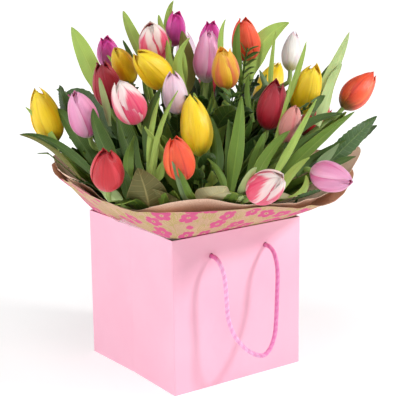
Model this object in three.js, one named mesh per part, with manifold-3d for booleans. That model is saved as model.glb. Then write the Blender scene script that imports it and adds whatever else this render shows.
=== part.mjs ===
// A flower box: a pink card carrier carton with two rope handles that holds a hand-tied,
// paper-wrapped bouquet of tulips standing in its own water bag.
//
// Millimetres, +Z up. The origin is the centre of the carton's underside, on the surface that
// it stands on. The front panel, with its rope handle, faces -Y, and a creased gusset is at -X.
import * as THREE from "three";
import { mergeVertices } from "three/addons/utils/BufferGeometryUtils.js";
import Module from "manifold-3d";

const wasm = await Module();
wasm.setup();

// ---------------------------------------------------------------- carton
const CARTON_WIDTH = 180; // along X, over the front panel
const CARTON_DEPTH = 180; // along Y, over the gussets
const CARTON_HEIGHT = 180;
const BOARD = 1; // thickness of the carton's card
const CREASE = 2.5; // how far each gusset's middle crease is pushed in
const BASE_CARD = 1.5; // thickness of the loose card that stiffens the base
const HEM_DEPTH = 48; // how far the turned-in rim and its stiffener reach down
const HEM_TOP = 2; // from the rim to the stiffener's upper edge
const GAP = 0.3; // clearance between pieces that touch

// ---------------------------------------------------------------- rope handles
const CORD = 5; // rope diameter
const HOLE = 6.4; // punched hole that the rope passes
const HOLE_SPACING = 76;
const HOLE_DROP = 25.5; // from the rim to the holes
const KNOT = 12; // knot diameter, inside the carton
const CORD_SIDES = 8;
const CORD_STEP = 12; // length of one facet of the rope

// Route of a handle's rope, from its left hole to its right one: [along the panel, out from
// the panel, down from the holes].
const HANDLE_ROUTE = [
  [-38, 2.8, 0],
  [-38, 9, 0.8],
  [-37.8, 17, 6.5],
  [-37, 23, 19],
  [-36.5, 25, 34],
  [-35.5, 25.5, 51],
  [-34, 26, 68],
  [-30, 30, 85],
  [-23, 36, 98],
  [-13.5, 41, 107.5],
  [-2.5, 44.5, 112.5],
  [6, 44.5, 111],
  [15, 42, 104],
  [23, 37.5, 92.5],
  [29, 32, 78.5],
  [33, 28, 63.5],
  [35.5, 25.5, 48],
  [36.5, 25, 32],
  [37, 23, 18.5],
  [37.8, 17, 6.5],
  [38, 9, 0.8],
  [38, 2.8, 0],
];

// ---------------------------------------------------------------- wraps and ties
const TIE_DROP = 95; // from the rim to the binding point
const TIE_HEIGHT = CARTON_HEIGHT - TIE_DROP;
const PAPER = 0.6; // solid thickness that stands for a sheet of kraft paper
const FILM = 0.5; // solid thickness that stands for the cellophane
const SHEET_GAP = 0.8; // between the two papers
const FILM_GAP = 3; // between the paper and the film where they pass the rim
const STEM_TWINE = 1.6; // diameter of the twine round the stems
const WRAP_TWINE = 2.8; // diameter of the cord round the whole wrap
const SKIRT_LENGTH = 25; // of the paper under the tie
const SKIRT_HEIGHT = TIE_HEIGHT - SKIRT_LENGTH;
const SKIRT_RADIUS = 36;
const BAG_RADIUS = 56; // of the water bag under the tie
const BAG_CORNER = 14; // rounding of the bag's foot
const NECK_CLEARANCE = 4.2; // between the film and the carton's wall at the rim
const NECK_LIFT = 2; // from the rim up to where the sheets fold outward
const NECK_SQUARENESS = 5; // superellipse exponent of the wrap where it passes the rim
const SHEET_SIDES = 32;
const SHORTEST_COLLAR = 1; // of a sheet that ends inside the carton

// The outlines of the sheets' upper edges as [azimuth in degrees, reach from the axis, rise
// above the rim], drawn for a carton of PLAN_SIZE each way.
const PLAN_SIZE = 180;
const PRINTED_EDGE = [
  [-170, 152, 36],
  [-150, 166, 42],
  [-136, 174, 46],
  [-122, 166, 43],
  [-106, 156, 40],
  [-92, 160, 39],
  [-78, 166, 33],
  [-64, 170, 28],
  [-50, 178, 34],
  [-34, 190, 47],
  [-14, 174, 52],
  [8, 160, 52],
  [30, 162, 54],
  [48, 174, 56],
  [70, 160, 52],
  [92, 152, 50],
  [114, 158, 52],
  [134, 170, 56],
  [154, 160, 54],
  [172, 154, 54],
];
const PLAIN_EDGE = [
  [-168, 146, 38],
  [-152, 156, 42],
  [-136, 170, 57],
  [-120, 162, 53],
  [-104, 154, 44],
  [-86, 160, 41],
  [-66, 166, 38],
  [-50, 180, 52],
  [-34, 198, 74],
  [-14, 174, 62],
  [10, 156, 62],
  [45, 170, 68],
  [70, 156, 64],
  [92, 150, 62],
  [114, 154, 62],
  [134, 168, 66],
  [154, 158, 64],
  [172, 158, 66],
];
const FILM_EDGE = [
  [-168, 101, 6],
  [-157, 98, 2.6],
  [-144, 96, -6],
  [-110, 84, -16],
  [-60, 82, -20],
  [0, 80, -18],
  [60, 82, -16],
  [110, 82, -14],
  [144, 90, -6],
  [157, 94, 2.6],
  [172, 102, 6],
];

// ---------------------------------------------------------------- tulips
const STEM = 6; // stem diameter
const STEM_GAP = 1; // between stems in the binding
const STEM_PITCH = STEM + STEM_GAP;
const STEM_FOOT = 14; // height of the stems' cut ends
const FOOT_SPREAD = 1.3; // how far the cut ends spread, against the binding
const STEM_SIDES = 6;
const STEM_STEPS = 7;
const STEM_BOW = 2.3; // how late a stem curves outward
const NECK = 14; // straight stretch of stem under a head
const HEAD_SIDES = 8;
const BINDING_RINGS = [1, 6, 12, 12]; // stems in each ring of the binding, from its middle

// Head length and width of each variety.
const VARIETIES = {
  yellow: [64, 36],
  slim_yellow: [56, 28],
  gold: [52, 32],
  orange: [56, 34],
  scarlet: [50, 36],
  crimson: [58, 34],
  pink: [58, 34],
  blush: [54, 28],
  magenta: [50, 28],
  pink_and_white: [56, 36],
  ivory: [50, 24],
  salmon: [50, 24],
};

// Each tulip: variety, foot of its head as [x, y, rise above the rim], and the lean of its
// head from upright and the azimuth that it leans towards, in degrees.
const TULIPS = [
  ["yellow", [-140, 75, 90], 18, 130],
  ["pink", [-128, 15, 105], 26, -155],
  ["crimson", [-85, 35, 131], 23, -152],
  ["pink_and_white", [-110, -58, 129], 34, -160],
  ["scarlet", [-158, -74, 65], 27, -123],
  ["magenta", [-45, 104, 168], 44, -130],
  ["slim_yellow", [-52, 48, 155], 41, -148],
  ["yellow", [-43, -19, 158], 50, -168],
  ["pink_and_white", [-32, 24, 180], 36, -132],
  ["magenta", [16, 62, 193], 38, -112],
  ["blush", [-58, -57, 133], 28, -135],
  ["magenta", [54, 38, 180], 35, -122],
  ["pink", [15, -8, 155], 7, 16],
  ["gold", [15, -50, 153], 26, -137],
  ["orange", [66, -21, 177], 25, -138],
  ["ivory", [106, -50, 165], 35, 42],
  ["crimson", [34, -98, 111], 21, -93],
  ["yellow", [102, -72, 118], 25, -92],
  ["orange", [150, -94, 122], 50, -4],
  ["salmon", [39, -122, 99], 30, -97],
  ["pink", [45, -165, 72], 92, -88],
  ["pink_and_white", [-34, -160, 56], 60, -90],
  ["yellow", [-55, -96, 91], 11, 103],
  ["orange", [-93, -118, 75], 30, -142],
  ["yellow", [138, 48, 105], 35, 15],
  ["crimson", [92, 92, 118], 30, 45],
  ["pink", [78, 142, 80], 42, 62],
  ["orange", [5, 150, 98], 34, 90],
  ["magenta", [-55, 155, 82], 38, 108],
  ["scarlet", [152, -20, 78], 48, -8],
  ["blush", [60, 96, 150], 22, 60],
];

// ---------------------------------------------------------------- greenery
const STALK = 3; // diameter of a loose leaf's stalk
const LEAF = 1; // leaf thickness
const CLEARANCE = 0.4; // round the tulips that a leaf touches

// Leaves that grow from a tulip: the tulip, how far up its stem, then the middle and tip of the
// blade as [x, y, rise above the rim], and the blade's width.
const TULIP_LEAVES = [
  ["slim_yellow_1", 0.6, [-88, 74, 165], [-102, 96, 216], 34],
  ["magenta_1", 0.6, [-34, 78, 190], [-44, 80, 236], 26],
  ["magenta_2", 0.7, [6, 34, 205], [0, 36, 250], 22],
  ["orange_1", 0.65, [88, -34, 180], [112, -44, 218], 34],
  ["ivory_1", 0.6, [132, -86, 150], [156, -96, 208], 28],
];

// Loose sprigs round the rim: the foot, middle and tip of the blade, and its width.
const SPRIGS = [
  [[-98, 64, 50], [-150, 90, 96], [-186, 82, 104], 30],
  [[78, -108, 50], [124, -136, 92], [157, -146, 118], 34],
  [[100, 62, 55], [150, 85, 115], [182, 96, 128], 34],
  [[-22, 120, 50], [-42, 162, 112], [-62, 192, 126], 34],
];

// ---------------------------------------------------------------- shared helpers
const degrees = THREE.MathUtils.degToRad;
const lerp = THREE.MathUtils.lerp;
const mapLinear = THREE.MathUtils.mapLinear;
const acrossX = CARTON_WIDTH / PLAN_SIZE;
const acrossY = CARTON_DEPTH / PLAN_SIZE;

// A point of the bouquet's plan, in the part's frame.
function planPoint([x, y, rise]) {
  return new THREE.Vector3(x * acrossX, y * acrossY, CARTON_HEIGHT + rise);
}

function solidOf(geometry) {
  const bare = geometry.clone();
  bare.deleteAttribute("normal");
  bare.deleteAttribute("uv");
  const merged = mergeVertices(bare);
  return new wasm.Manifold(
    new wasm.Mesh({
      numProp: 3,
      vertProperties: new Float32Array(merged.attributes.position.array),
      triVerts: new Uint32Array(merged.index.array),
    }),
  );
}

function geometryOf(solid) {
  const mesh = solid.getMesh();
  const geometry = new THREE.BufferGeometry();
  geometry.setAttribute("position", new THREE.BufferAttribute(mesh.vertProperties, 3));
  geometry.setIndex(new THREE.BufferAttribute(mesh.triVerts, 1));
  geometry.computeVertexNormals();
  return geometry;
}

// A closed outline drawn on the ground plane and raised to a height.
function raised(points, height) {
  const outline = new THREE.Shape(points.map(([x, y]) => new THREE.Vector2(x, y)));
  return new THREE.ExtrudeGeometry(outline, { depth: height, bevelEnabled: false });
}

// A round rod with flat ends along a curve.
function rod(curve, diameter, sides, steps) {
  const section = new THREE.Shape();
  for (let i = 0; i < sides; i++) {
    const turn = (2 * Math.PI * (i + 0.5)) / sides;
    const point = [(Math.cos(turn) * diameter) / 2, (Math.sin(turn) * diameter) / 2];
    if (i) section.lineTo(...point);
    else section.moveTo(...point);
  }
  return new THREE.ExtrudeGeometry(section, { steps, extrudePath: curve, bevelEnabled: false });
}

// ---------------------------------------------------------------- materials
const finish = (color, roughness) =>
  new THREE.MeshStandardMaterial({ color, roughness, metalness: 0 });
const CARTON_PINK = finish(0xf59bc4, 0.5);
const KRAFT = finish(0xb98d62, 0.85);
const WHITE_CARD = finish(0xe9e2da, 0.8);
const ROPE = finish(0xd9579f, 0.6);
const CLEAR_FILM = finish(0xe4edf2, 0.15);
const TWINE = finish(0xc9ab7c, 0.9);
const LEAF_GREEN = finish(0x4c7a35, 0.55);
const PETALS = {
  yellow: finish(0xf6c915, 0.45),
  slim_yellow: finish(0xf2c31f, 0.45),
  gold: finish(0xf0a61c, 0.45),
  orange: finish(0xe8501c, 0.45),
  scarlet: finish(0xcf2a26, 0.45),
  crimson: finish(0xa8182c, 0.45),
  pink: finish(0xe583b4, 0.45),
  blush: finish(0xf2b3c8, 0.45),
  magenta: finish(0xc23a8c, 0.45),
  pink_and_white: finish(0xe9788c, 0.45),
  ivory: finish(0xf3e3e2, 0.45),
  salmon: finish(0xe79483, 0.45),
};

const flowerBox = new THREE.Group();
function add(name, geometry, material, parent = flowerBox) {
  const mesh = new THREE.Mesh(geometry, material);
  mesh.name = name;
  parent.add(mesh);
  return mesh;
}

// ---------------------------------------------------------------- the carton
const halfWidth = CARTON_WIDTH / 2;
const halfDepth = CARTON_DEPTH / 2;
const holeHeight = CARTON_HEIGHT - HOLE_DROP;
const innerFace = BOARD + GAP; // from a panel's outer face to what rests inside it

// An upright card with the two rope holes, its outer face on y = 0 and facing -Y.
function holedCard(width, bottom, top, thickness) {
  const outline = new THREE.Shape([
    new THREE.Vector2(-width / 2, bottom),
    new THREE.Vector2(width / 2, bottom),
    new THREE.Vector2(width / 2, top),
    new THREE.Vector2(-width / 2, top),
  ]);
  for (const side of [-1, 1]) {
    const hole = new THREE.Path();
    hole.absarc((side * HOLE_SPACING) / 2, holeHeight, HOLE / 2, 0, 2 * Math.PI, true);
    outline.holes.push(hole);
  }
  const card = new THREE.ExtrudeGeometry(outline, {
    depth: thickness,
    bevelEnabled: false,
    curveSegments: 8,
  });
  return card.rotateX(Math.PI / 2).translate(0, thickness, 0);
}

// A gusset at -X: a wall with one upright crease that is pushed in.
function gusset() {
  const reach = halfDepth - innerFace;
  const wall = [
    [-halfWidth, -reach],
    [-halfWidth + BOARD, -reach],
    [-halfWidth + BOARD + CREASE, 0],
    [-halfWidth + BOARD, reach],
    [-halfWidth, reach],
    [-halfWidth + CREASE, 0],
  ];
  return raised(wall, CARTON_HEIGHT);
}

// A flat card between the four walls, notched where the gussets' creases come in.
function floorCard(thickness) {
  const x = halfWidth - innerFace;
  const y = halfDepth - innerFace;
  const outline = [
    [-x, -y],
    [x, -y],
    [x - CREASE, 0],
    [x, y],
    [-x, y],
    [-x + CREASE, 0],
  ];
  return raised(outline, thickness);
}

// The two sides of the carton that carry a handle: the front one as drawn, the back one turned.
const handleSides = [
  ["front", 0],
  ["back", Math.PI],
].map(([place, turn]) => {
  const side = new THREE.Group();
  side.rotation.z = turn;
  flowerBox.add(side);
  return [place, side];
});

const hemBottom = CARTON_HEIGHT - HEM_TOP - HEM_DEPTH;
const hemWidth = CARTON_WIDTH - 2 * (innerFace + CREASE) - 8;
for (const [place, side] of handleSides) {
  const panel = add(
    place + "_panel",
    holedCard(CARTON_WIDTH, 0, CARTON_HEIGHT, BOARD),
    CARTON_PINK,
    side,
  );
  panel.position.y = -halfDepth;
  const hem = add(
    place + "_rim_stiffener",
    holedCard(hemWidth, hemBottom, CARTON_HEIGHT - HEM_TOP, BOARD),
    WHITE_CARD,
    side,
  );
  hem.position.y = -halfDepth + innerFace;
}
add("left_gusset", gusset(), CARTON_PINK);
add("right_gusset", gusset(), CARTON_PINK).rotation.z = Math.PI;
add("base_panel", floorCard(BOARD), CARTON_PINK);
add("base_card", floorCard(BASE_CARD), WHITE_CARD).position.z = BOARD + GAP;

// ---------------------------------------------------------------- the rope handles
// A knot against the stiffener's inner face, with its tail through both holes to the outer face.
function knot(x) {
  const inner = 2 * innerFace;
  const ball = new THREE.SphereGeometry(KNOT / 2, 10, 6);
  ball.translate(x, -halfDepth + inner + KNOT / 2, holeHeight);
  const tail = rod(
    new THREE.LineCurve3(
      new THREE.Vector3(x, -halfDepth, holeHeight),
      new THREE.Vector3(x, -halfDepth + inner + KNOT / 2, holeHeight),
    ),
    CORD,
    CORD_SIDES,
    1,
  );
  return geometryOf(solidOf(ball).add(solidOf(tail)));
}

function handleCord() {
  const route = HANDLE_ROUTE.map(
    ([along, out, down]) => new THREE.Vector3(along, -halfDepth - out, holeHeight - down),
  );
  const curve = new THREE.CatmullRomCurve3(route);
  return rod(curve, CORD, CORD_SIDES, Math.round(curve.getLength() / CORD_STEP));
}

for (const [place, side] of handleSides) {
  add(place + "_handle_cord", handleCord(), ROPE, side);
  add(place + "_knot_left", knot(-HOLE_SPACING / 2), ROPE, side);
  add(place + "_knot_right", knot(HOLE_SPACING / 2), ROPE, side);
}

// ---------------------------------------------------------------- the binding
// The layers at the tie, from the middle: stems, leaf stalks, twine, plain paper, printed
// paper, film, cord.
const outerRing = BINDING_RINGS.length - 1;
const stalkRing = STEM_PITCH * outerRing + STEM / 2 + GAP + STALK / 2 + CLEARANCE;
const stemTwineRing = stalkRing + STALK / 2 + STEM_TWINE / 2 + 4 * GAP;
const plainWaist = stemTwineRing + STEM_TWINE / 2 + 2 * GAP + PAPER;
const printedWaist = plainWaist + SHEET_GAP + PAPER;
const filmWaist = printedWaist + SHEET_GAP + FILM;
const wrapTwineRing = filmWaist + WRAP_TWINE / 2 + 3 * GAP;

for (const [name, ring, diameter, material] of [
  ["stem_twine", stemTwineRing, STEM_TWINE, TWINE],
  ["wrap_twine", wrapTwineRing, WRAP_TWINE, TWINE],
]) {
  add(name, new THREE.TorusGeometry(ring, diameter / 2, 6, 24), material).position.z = TIE_HEIGHT;
}

// ---------------------------------------------------------------- the wrapping sheets
// Reach and rise of a sheet's edge at an azimuth, on a smooth closed curve through its plan.
function edgeAt(plan, azimuth) {
  const count = plan.length;
  const from = plan[0][0];
  const turned = from + THREE.MathUtils.euclideanModulo(azimuth - from, 360);
  let i = 0;
  while (i < count - 1 && plan[i + 1][0] <= turned) i++;
  const near = (k) => {
    const [a, ...rest] = plan[(k + count) % count];
    return [a + 360 * Math.floor(k / count), ...rest];
  };
  const [before, left, right, after] = [near(i - 1), near(i), near(i + 1), near(i + 2)];
  const span = right[0] - left[0];
  const t = (turned - left[0]) / span;
  return [1, 2].map((k) => {
    const slopeLeft = ((right[k] - before[k]) / (right[0] - before[0])) * span;
    const slopeRight = ((after[k] - left[k]) / (after[0] - left[0])) * span;
    const h = (a, b, c, d) => ((a * t + b) * t + c) * t + d;
    return (
      h(2, -3, 0, 1) * left[k] +
      h(1, -2, 1, 0) * slopeLeft +
      h(-2, 3, 0, 0) * right[k] +
      h(1, -1, 0, 0) * slopeRight
    );
  });
}

// Distance from the axis to a rounded rectangle at an azimuth.
function roundedReach(turn, x, y, squareness) {
  const cos = Math.abs(Math.cos(turn) / x) ** squareness;
  const sin = Math.abs(Math.sin(turn) / y) ** squareness;
  return (cos + sin) ** (-1 / squareness);
}

// A sheet's outer face at an azimuth, as [distance from the axis, height] from its lower edge,
// through the tie and the carton's rim, to its upper edge.
function sheetProfile(turn, below, waist, neckInset, edge) {
  const profile = [...below, [waist, TIE_HEIGHT]];
  const [reach, rise] = edgeAt(edge, THREE.MathUtils.radToDeg(turn));
  const edgeReach = reach * Math.hypot(Math.cos(turn) * acrossX, Math.sin(turn) * acrossY);
  const x = halfWidth - innerFace - neckInset;
  const y = halfDepth - innerFace - neckInset;
  const neck = roundedReach(turn, x, y, NECK_SQUARENESS);
  const foldHeight = CARTON_HEIGHT + NECK_LIFT;
  const edgeHeight = CARTON_HEIGHT + rise;
  const rowHeight = Math.min(foldHeight, edgeHeight - SHORTEST_COLLAR);
  const rowReach = mapLinear(rowHeight, TIE_HEIGHT, foldHeight, waist, neck);
  const folded = rowHeight === foldHeight;
  profile.push([rowReach, rowHeight], [folded ? edgeReach : rowReach, edgeHeight]);
  return profile;
}

// The same profile moved in by the sheet's thickness, square to its face.
function innerProfile(profile, thickness) {
  return profile.map(([out, height], i) => {
    const [out0, height0] = profile[Math.max(i - 1, 0)];
    const [out1, height1] = profile[Math.min(i + 1, profile.length - 1)];
    const length = Math.hypot(out1 - out0, height1 - height0);
    return [
      Math.max(out - (thickness * (height1 - height0)) / length, 0),
      height + (thickness * (out1 - out0)) / length,
    ];
  });
}

// A turned blank whose rows are then laid on the sheet at each azimuth.
function sheet(thickness, profileAt, closed) {
  const outline = (turn) => {
    const outer = profileAt(turn);
    const loop = [...outer, ...innerProfile(outer, thickness).reverse()];
    return closed ? loop : [...loop, outer[0]];
  };
  const rows = outline(0).length;
  const blank = new THREE.LatheGeometry(
    outline(0).map(([out, height]) => new THREE.Vector2(out, height)),
    SHEET_SIDES,
  );
  const position = blank.attributes.position;
  for (let side = 0; side <= SHEET_SIDES; side++) {
    const turn = (2 * Math.PI * (side % SHEET_SIDES)) / SHEET_SIDES;
    outline(turn).forEach(([out, height], row) => {
      position.setXYZ(side * rows + row, out * Math.cos(turn), out * Math.sin(turn), height);
    });
  }
  // Both faces are split along the same diagonals, so that the sheet keeps its thickness.
  const outerRows = profileAt(0).length;
  for (let side = 0; side < SHEET_SIDES; side++) {
    for (let row = outerRows; row < rows - 1; row++) {
      const here = side * rows + row;
      const beside = here + rows;
      const quad = [here, beside, beside + 1, here, beside + 1, here + 1];
      blank.index.array.set(quad, 6 * (side * (rows - 1) + row));
    }
  }
  return blank;
}

const paperHem = [[SKIRT_RADIUS, SKIRT_HEIGHT]];
const bagFloor = BOARD + BASE_CARD + 2 * GAP;
const bagFoot = [
  [0, bagFloor],
  [BAG_RADIUS - BAG_CORNER, bagFloor],
  [BAG_RADIUS, bagFloor + BAG_CORNER],
  [BAG_RADIUS, (bagFloor + TIE_HEIGHT) / 2],
];
const layer = PAPER + SHEET_GAP;
const printedInset = NECK_CLEARANCE + FILM + FILM_GAP;
add(
  "plain_kraft_wrap",
  sheet(PAPER, (turn) => {
    const hem = [[SKIRT_RADIUS - layer, SKIRT_HEIGHT]];
    return sheetProfile(turn, hem, plainWaist, printedInset + layer, PLAIN_EDGE);
  }),
  KRAFT,
);
add(
  "printed_kraft_wrap",
  sheet(PAPER, (turn) =>
    sheetProfile(turn, paperHem, printedWaist, printedInset, PRINTED_EDGE),
  ),
  KRAFT,
);
add(
  "water_bag",
  sheet(
    FILM,
    (turn) => sheetProfile(turn, bagFoot, filmWaist, NECK_CLEARANCE, FILM_EDGE),
    true,
  ),
  CLEAR_FILM,
);

// ---------------------------------------------------------------- the tulips
const UP = new THREE.Vector3(0, 0, 1);

// A closed head with its foot at the origin and its tip up, grown all round by a clearance.
function tulipHead(variety, grown = 0) {
  const [length, width] = VARIETIES[variety];
  const outline = [
    [0, 0],
    [0.72, 0.1],
    [1, 0.4],
    [0.8, 0.75],
    [0, 1],
  ];
  const points = outline.map(
    ([out, along]) =>
      new THREE.Vector2(
        out && (out * width) / 2 + grown,
        lerp(-grown, length + grown, along),
      ),
  );
  return new THREE.LatheGeometry(points, HEAD_SIDES).rotateX(Math.PI / 2);
}

// How each tulip stands: the foot of its head, the way the head points, and the point where
// its stem straightens towards the head.
const stands = TULIPS.map(([variety, foot, lean, toward]) => {
  const tilt = degrees(lean);
  const turn = degrees(toward);
  const points = new THREE.Vector3(
    Math.sin(tilt) * Math.cos(turn),
    Math.sin(tilt) * Math.sin(turn),
    Math.cos(tilt),
  );
  const base = planPoint(foot);
  const approach = base.clone().addScaledVector(points, -NECK);
  const rise = approach.z - TIE_HEIGHT;
  const bend = Math.hypot(approach.x, approach.y) / rise ** STEM_BOW;
  return { variety, points, base, approach, bend, turn: Math.atan2(approach.y, approach.x) };
});

// Stems that bend least take the middle of the binding, and within a ring they keep the order
// of their azimuths, so that no two cross.
function bindingSlots(all, rings, pitch) {
  const byBend = [...all].sort((a, b) => a.bend - b.bend);
  let taken = 0;
  rings.forEach((count, ring) => {
    const members = byBend.slice(taken, taken + count).sort((a, b) => a.turn - b.turn);
    taken += count;
    const step = (2 * Math.PI) / members.length;
    const shift =
      members.reduce((sum, member, k) => sum + member.turn - k * step, 0) / members.length;
    members.forEach((member, k) => {
      const turn = shift + k * step;
      const out = ring * pitch;
      member.slot = new THREE.Vector3(out * Math.cos(turn), out * Math.sin(turn), TIE_HEIGHT);
    });
  });
}
bindingSlots(stands, BINDING_RINGS, STEM_PITCH);

// A stem's middle line: from its cut end through its place in the binding, then curving out.
function stemLine(slot, approach, end) {
  const foot = new THREE.Vector3(slot.x * FOOT_SPREAD, slot.y * FOOT_SPREAD, STEM_FOOT);
  const points = [foot, slot.clone()];
  for (const share of [0.3, 0.55, 0.8, 1]) {
    const point = slot.clone().lerp(approach, share ** STEM_BOW);
    point.z = lerp(slot.z, approach.z, share);
    points.push(point);
  }
  if (end) points.push(end);
  return new THREE.CatmullRomCurve3(points, false, "centripetal");
}

function tulipSolid(stand, grown) {
  const head = tulipHead(stand.variety, grown);
  head.applyQuaternion(new THREE.Quaternion().setFromUnitVectors(UP, stand.points));
  head.translate(stand.base.x, stand.base.y, stand.base.z);
  const inHead = stand.base.clone().addScaledVector(stand.points, STEM);
  const line = stemLine(stand.slot, stand.approach, inHead);
  const stem = rod(line, STEM + 2 * grown, STEM_SIDES, STEM_STEPS);
  return solidOf(head).add(solidOf(stem));
}

const counts = {};
for (const stand of stands) {
  counts[stand.variety] = (counts[stand.variety] ?? 0) + 1;
  stand.name = stand.variety + "_" + counts[stand.variety];
  add("tulip_" + stand.name, geometryOf(tulipSolid(stand, 0)), PETALS[stand.variety]);
}

// ---------------------------------------------------------------- the greenery
// A pointed blade: a thin bar bent along its midrib and drawn in towards both ends.
function blade(foot, middle, tip, width) {
  const rows = 4;
  const bar = new THREE.BoxGeometry(1, LEAF, 1, 2, 1, rows);
  const midrib = new THREE.QuadraticBezierCurve3(foot, middle, tip);
  const position = bar.attributes.position;
  const place = new THREE.Vector3();
  for (let i = 0; i < position.count; i++) {
    place.fromBufferAttribute(position, i);
    const along = place.z + 0.5;
    const ahead = midrib.getTangent(along);
    const outward = new THREE.Vector3(midrib.getPoint(along).x, midrib.getPoint(along).y, 0);
    const across = new THREE.Vector3().crossVectors(ahead, outward).normalize();
    const facing = new THREE.Vector3().crossVectors(ahead, across).normalize();
    const breadth = width * Math.sin(Math.PI * lerp(0.12, 0.97, along));
    const point = midrib
      .getPoint(along)
      .addScaledVector(across, place.x * breadth)
      .addScaledVector(facing, place.y);
    position.setXYZ(i, point.x, point.y, point.z);
  }
  return bar;
}

// A leaf gives way to every tulip that it meets, and keeps its largest piece.
const tulipSpace = stands.map((stand) => tulipSolid(stand, CLEARANCE));
function addLeaf(name, solid) {
  let left = solid;
  for (const space of tulipSpace) left = left.subtract(space);
  const [largest] = left.decompose().sort((a, b) => b.volume() - a.volume());
  add(name, geometryOf(largest), LEAF_GREEN);
}

TULIP_LEAVES.forEach(([name, share, middle, tip, width], k) => {
  const { slot, approach } = stands.find((stand) => stand.name === name);
  const foot = stemLine(slot, approach).getPoint(share);
  const leafBlade = blade(foot, planPoint(middle), planPoint(tip), width);
  addLeaf("tulip_leaf_" + (k + 1), solidOf(leafBlade));
});

SPRIGS.forEach(([foot, middle, tip, width], k) => {
  const [base, bent, end] = [foot, middle, tip].map(planPoint);
  const slot = new THREE.Vector3(base.x, base.y, 0).setLength(stalkRing).setZ(TIE_HEIGHT);
  const inBlade = base.clone().lerp(bent, 0.06);
  const stalk = rod(stemLine(slot, base, inBlade), STALK, STEM_SIDES, STEM_STEPS);
  addLeaf("sprig_" + (k + 1), solidOf(stalk).add(solidOf(blade(base, bent, end, width))));
});

export default flowerBox;
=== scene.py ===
"""The looks of the flower box: card, rope, kraft paper, film, petals and leaves round the CAD frame."""

import math
import random

import bpy
import numpy as np
from mathutils import Matrix, Vector, noise


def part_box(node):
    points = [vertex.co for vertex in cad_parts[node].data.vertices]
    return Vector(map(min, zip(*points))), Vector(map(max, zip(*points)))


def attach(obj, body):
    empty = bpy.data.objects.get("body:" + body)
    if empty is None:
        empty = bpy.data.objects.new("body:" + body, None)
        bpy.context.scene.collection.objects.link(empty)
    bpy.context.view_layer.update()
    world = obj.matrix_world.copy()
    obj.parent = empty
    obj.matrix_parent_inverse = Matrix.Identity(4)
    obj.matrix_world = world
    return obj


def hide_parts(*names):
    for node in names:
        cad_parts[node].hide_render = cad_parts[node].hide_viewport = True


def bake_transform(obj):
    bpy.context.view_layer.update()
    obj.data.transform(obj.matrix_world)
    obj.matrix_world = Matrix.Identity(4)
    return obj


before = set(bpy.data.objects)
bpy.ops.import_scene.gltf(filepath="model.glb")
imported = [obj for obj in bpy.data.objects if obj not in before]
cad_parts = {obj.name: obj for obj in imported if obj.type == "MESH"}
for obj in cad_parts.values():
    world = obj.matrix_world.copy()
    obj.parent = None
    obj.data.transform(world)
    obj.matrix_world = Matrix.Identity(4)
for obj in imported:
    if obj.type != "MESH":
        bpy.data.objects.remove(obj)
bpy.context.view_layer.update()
MM = 0.001
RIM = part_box("front_panel")[1].z  # height of the carton
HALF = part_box("front_panel")[1].x  # half its width and depth
TIE = 0.085  # height at which stems and sheets are bound

# ---------------------------------------------------------------- camera
YAW, PITCH, ROLL = (math.radians(angle) for angle in (34.87, 13.5, -0.71))
ahead = Vector((math.sin(YAW) * math.cos(PITCH), math.cos(YAW) * math.cos(PITCH), -math.sin(PITCH)))
level = Vector((math.cos(YAW), -math.sin(YAW), 0))
upright = level.cross(ahead)
right = level * math.cos(ROLL) + upright * math.sin(ROLL)
above = upright * math.cos(ROLL) - level * math.sin(ROLL)
camera = bpy.data.objects.new("camera", bpy.data.cameras.new("camera"))
bpy.context.scene.collection.objects.link(camera)
camera.data.lens = 108
camera.data.sensor_width = 36
camera.data.clip_start = 0.05
camera.data.clip_end = 60
turned = Matrix((right, above, -ahead)).transposed().to_4x4()
camera.matrix_world = Matrix.Translation((-0.782, -1.137, 0.527)) @ turned
bpy.context.scene.camera = camera


# ---------------------------------------------------------------- meshes
def unit(vectors):
    """Vectors scaled to length 1."""
    length = np.linalg.norm(vectors, axis=-1, keepdims=True)
    return vectors / np.maximum(length, 1e-12)


def ease(low, high, value):
    """A smooth step from 0 at low to 1 at high."""
    t = np.clip((value - low) / (high - low), 0, 1)
    return t * t * (3 - 2 * t)


def run_along(path):
    """Distance along a path at each of its points."""
    return np.concatenate([[0], np.cumsum(np.linalg.norm(np.diff(path, axis=0), axis=1))])


def smooth_path(points, step):
    """A Catmull-Rom curve through points, resampled at an even step."""
    p = np.array(points, float)
    p = np.vstack([2 * p[0] - p[1], p, 2 * p[-1] - p[-2]])
    t = np.linspace(0, 1, 24, endpoint=False)[:, None]
    dense = []
    for a, b, c, d in zip(p[:-3], p[1:-2], p[2:-1], p[3:]):
        second, third = 2 * a - 5 * b + 4 * c - d, 3 * b - a - 3 * c + d
        dense.append(0.5 * (2 * b + (c - a) * t + second * t**2 + third * t**3))
    dense = np.vstack([*dense, p[-2:-1]])
    run = run_along(dense)
    even = np.linspace(0, run[-1], max(int(round(run[-1] / step)) + 1, 4))
    return np.stack([np.interp(even, run, dense[:, k]) for k in range(3)], axis=1)


def frames_along(path):
    """Two unit vectors square to a path at each of its points, without twist."""
    ahead_of = unit(np.gradient(path, axis=0))
    first = np.cross(ahead_of[0], (0, 0, 1) if abs(ahead_of[0][2]) < 0.9 else (1, 0, 0))
    sideways = [unit(first)]
    for tangent in ahead_of[1:]:
        last = sideways[-1]
        sideways.append(unit(last - tangent * (last @ tangent)))
    sideways = np.array(sideways)
    return sideways, np.cross(ahead_of, sideways)


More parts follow.
